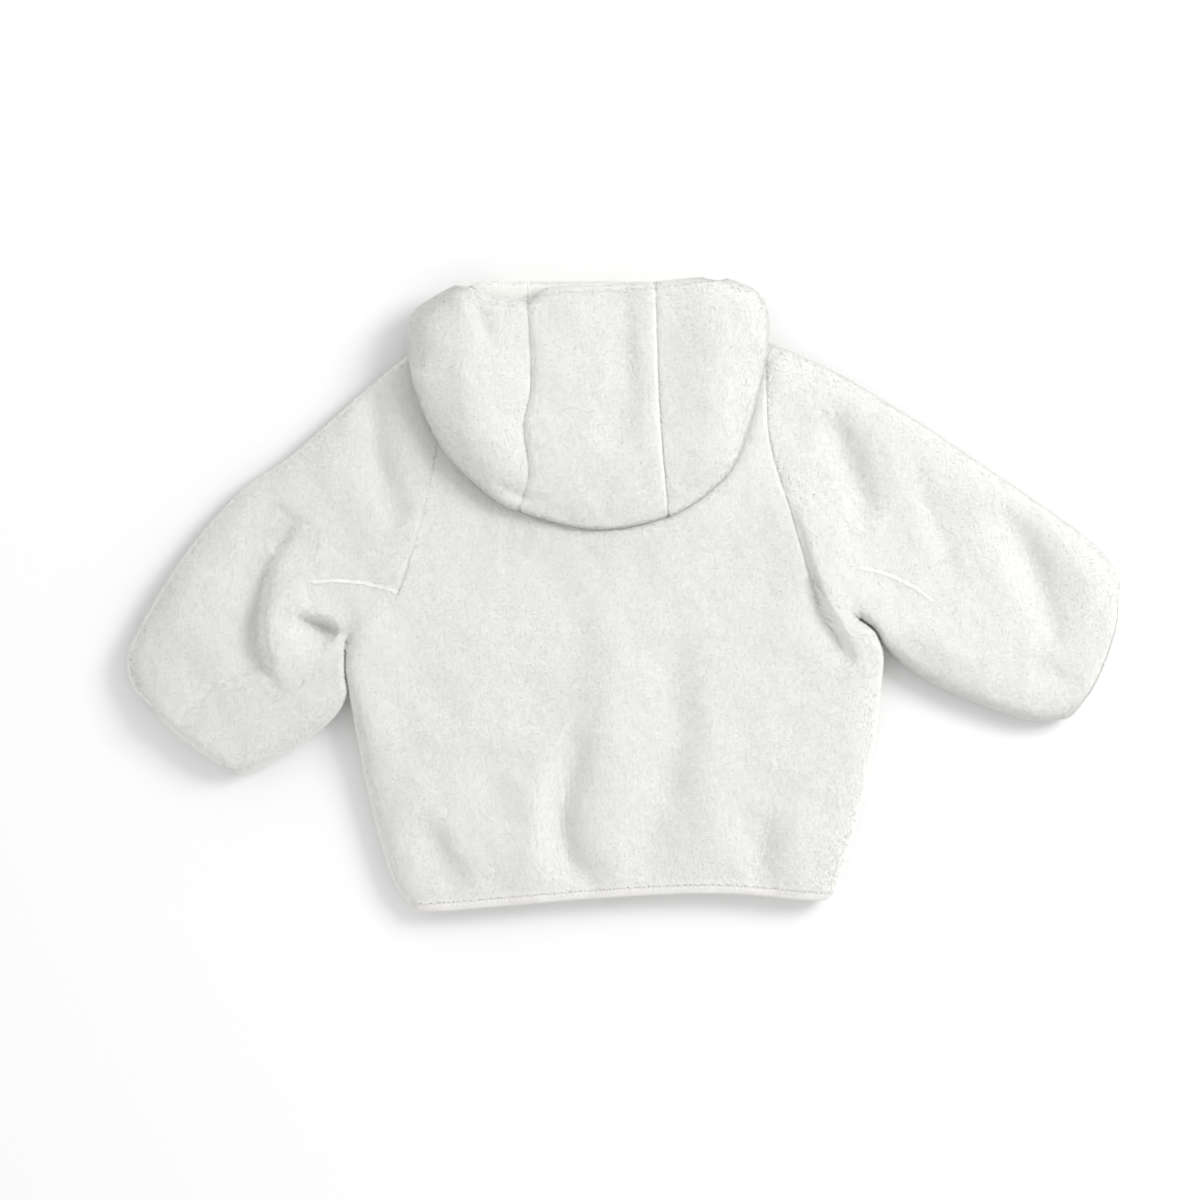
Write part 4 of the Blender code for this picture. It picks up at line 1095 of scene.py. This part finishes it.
def zip_chain():
    """The zip's tapes, teeth, slider and pull, between the two fronts."""
    high = CURVES["stand_top"][:, 1].mean() - CHAIN_SHORT
    low = np.interp(ZIP_X, CURVES["hem"][:, 0], CURVES["hem"][:, 1]) + 1
    middle = ZIP_CLEAR + ZIP_HEIGHT / 2
    centres = []
    for side, start in ((-1, low + 1), (1, low + 1 + TOOTH_PITCH / 2)):
        y = np.arange(start, high, TOOTH_PITCH)
        x = np.full(len(y), ZIP_X + side * TOOTH_SHIFT)
        centres.append(np.stack([x, y, np.full(len(y), middle)], -1))
    centres = np.vstack(centres)
    along_zip = np.tile((0.0, 1.0, 0.0), (len(centres), 1))
    over_zip = np.tile((1.0, 0.0, 0.0), (len(centres), 1))
    teeth = make_mesh("zip_teeth", *beads(centres, along_zip, over_zip, TOOTH), ZIP_PLASTIC)
    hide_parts("zip")
    heights = (middle + TAPE_THICKNESS / 2, middle - TAPE_THICKNESS / 2)
    for side, way in (("left", -1), ("right", 1)):
        tape(f"zip_tape_{side}", ZIP_X + way * np.linspace(*TAPE_EDGES, 5),
             np.linspace(low, high + SLIDER_LENGTH, 60), heights, flip=side == "left")
    place = np.array([[ZIP_X, high + SLIDER_LENGTH / 2 + SLIDER_UP, middle]])
    slider = make_mesh("zip_slider_body", *beads(place, along_zip[:1], over_zip[:1], SLIDER), ZIP_PLASTIC)
    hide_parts("zip_slider")
    tape("zip_pull", ZIP_X + np.linspace(-0.5, 0.5, 5) * PULL_WIDTH,
         high + SLIDER_LENGTH - PULL_DOWN - np.linspace(PULL_LENGTH, 0, 9), PULL_HEIGHTS)


RIDGE_PER_MM = 10
RIDGE_SPREAD = 0.32
RIDGE_HEIGHTS = (0.3, 0.6)
RIDGE_ROOT = 0.1           # height of the tufts' roots over the pile
RIDGE_REACH = 1.1          # half of a tuft's run
RIDGE_HALF_WIDTH = 0.2
RIDGE_NORMAL = (0.1, 0.05, 0.99)


def seam_ridge(name, seed):
    """The thin crest where a sleeve's seam allowance lifts the pile: a line of short tufts."""
    rng = np.random.default_rng(seed)
    count = int(lengths(CURVES[name])[-1] * RIDGE_PER_MM)
    plan = along(name, np.sort(rng.random(count))) + rng.normal(0, RIDGE_SPREAD, (count, 2))
    place = lift(plan, JACKET, True).tip
    turn = rng.uniform(0, 2 * np.pi, (count, 1))
    lean = np.concatenate([np.cos(turn), np.sin(turn), np.zeros((count, 1))], axis=1)
    half = np.cross((0.0, 0.0, 1.0), lean) * RIDGE_HALF_WIDTH
    root = place + (0.0, 0.0, RIDGE_ROOT) - lean * RIDGE_REACH
    end = place + (0.0, 0.0, 1.0) * rng.uniform(*RIDGE_HEIGHTS, (count, 1)) + lean * RIDGE_REACH
    corners = np.stack([root + half, root - half, end], axis=1).reshape(-1, 3)
    normals = np.tile(RIDGE_NORMAL, (3 * count, 1))
    piece = make_mesh(f"{name}_ridge", corners, np.arange(3 * count).reshape(count, 3), PLUSH_PILE, normals)


# -------- stage, light and camera

FLOOR_WHITE = 0.83
SKY = 0.93
LAMP_PLACE = (1.31, 0.70, 1.34)
LAMP_SIZE = 0.80
LAMP_POWER = 22.5


def stage_and_light():
    """A pale surface, a soft lamp and an even sky, as in the photograph."""
    bpy.ops.mesh.primitive_plane_add(size=6.0)
    floor = bpy.context.object
    floor.name = "surface"
    floor.data.materials.append(
        new_material("pale_surface", (FLOOR_WHITE,) * 3, 0.9, {"Specular IOR Level": 0.1})[0])
    light = bpy.data.lights.new("key", "AREA")
    light.size, light.energy = LAMP_SIZE, LAMP_POWER
    stand = add_object("key", light)
    stand.location = LAMP_PLACE
    stand.rotation_euler = Vector(LAMP_PLACE).to_track_quat("Z", "Y").to_euler()
    world = bpy.data.worlds.new("studio")
    world.use_nodes = True
    sky = world.node_tree.nodes["Background"]
    sky.inputs["Color"].default_value = (1.0, 1.0, 1.0, 1.0)
    sky.inputs["Strength"].default_value = SKY
    bpy.context.scene.world = world
    bpy.context.scene.view_settings.view_transform = "Standard"


PHOTO_SPAN = 642.0         # width that the photograph shows, mm
PHOTO_MIDDLE = (-14.4, -2.6)
CAMERA_HEIGHT = 2200.0
SHOWN_HEIGHT = 20.0        # the camera frames the photograph at this height


def camera():
    """Straight overhead, as in the photograph."""
    data = bpy.data.cameras.new("overhead")
    data.sensor_width = 36.0
    data.lens = data.sensor_width * (CAMERA_HEIGHT - SHOWN_HEIGHT) / PHOTO_SPAN
    data.clip_end = 20.0
    view = add_object("overhead", data)
    view.location = (PHOTO_MIDDLE[0] * MM, PHOTO_MIDDLE[1] * MM, CAMERA_HEIGHT * MM)
    bpy.context.scene.camera = view


camera()
stage_and_light()
for number, cut in enumerate(CUTS + BANDS):
    cut_piece(cut, SEED_STEP * number)
zip_chain()
for cut in BANDS:
    line = cut.sheet.base[STITCH_ROW]
    stitches(f"{cut.node}_stitches", np.vstack([line, line[:1]]) if cut.closed else line)
for number, name in enumerate(("sleeve_seam_left", "sleeve_seam_right")):
    seam_ridge(name, RIDGE_SEED + number)
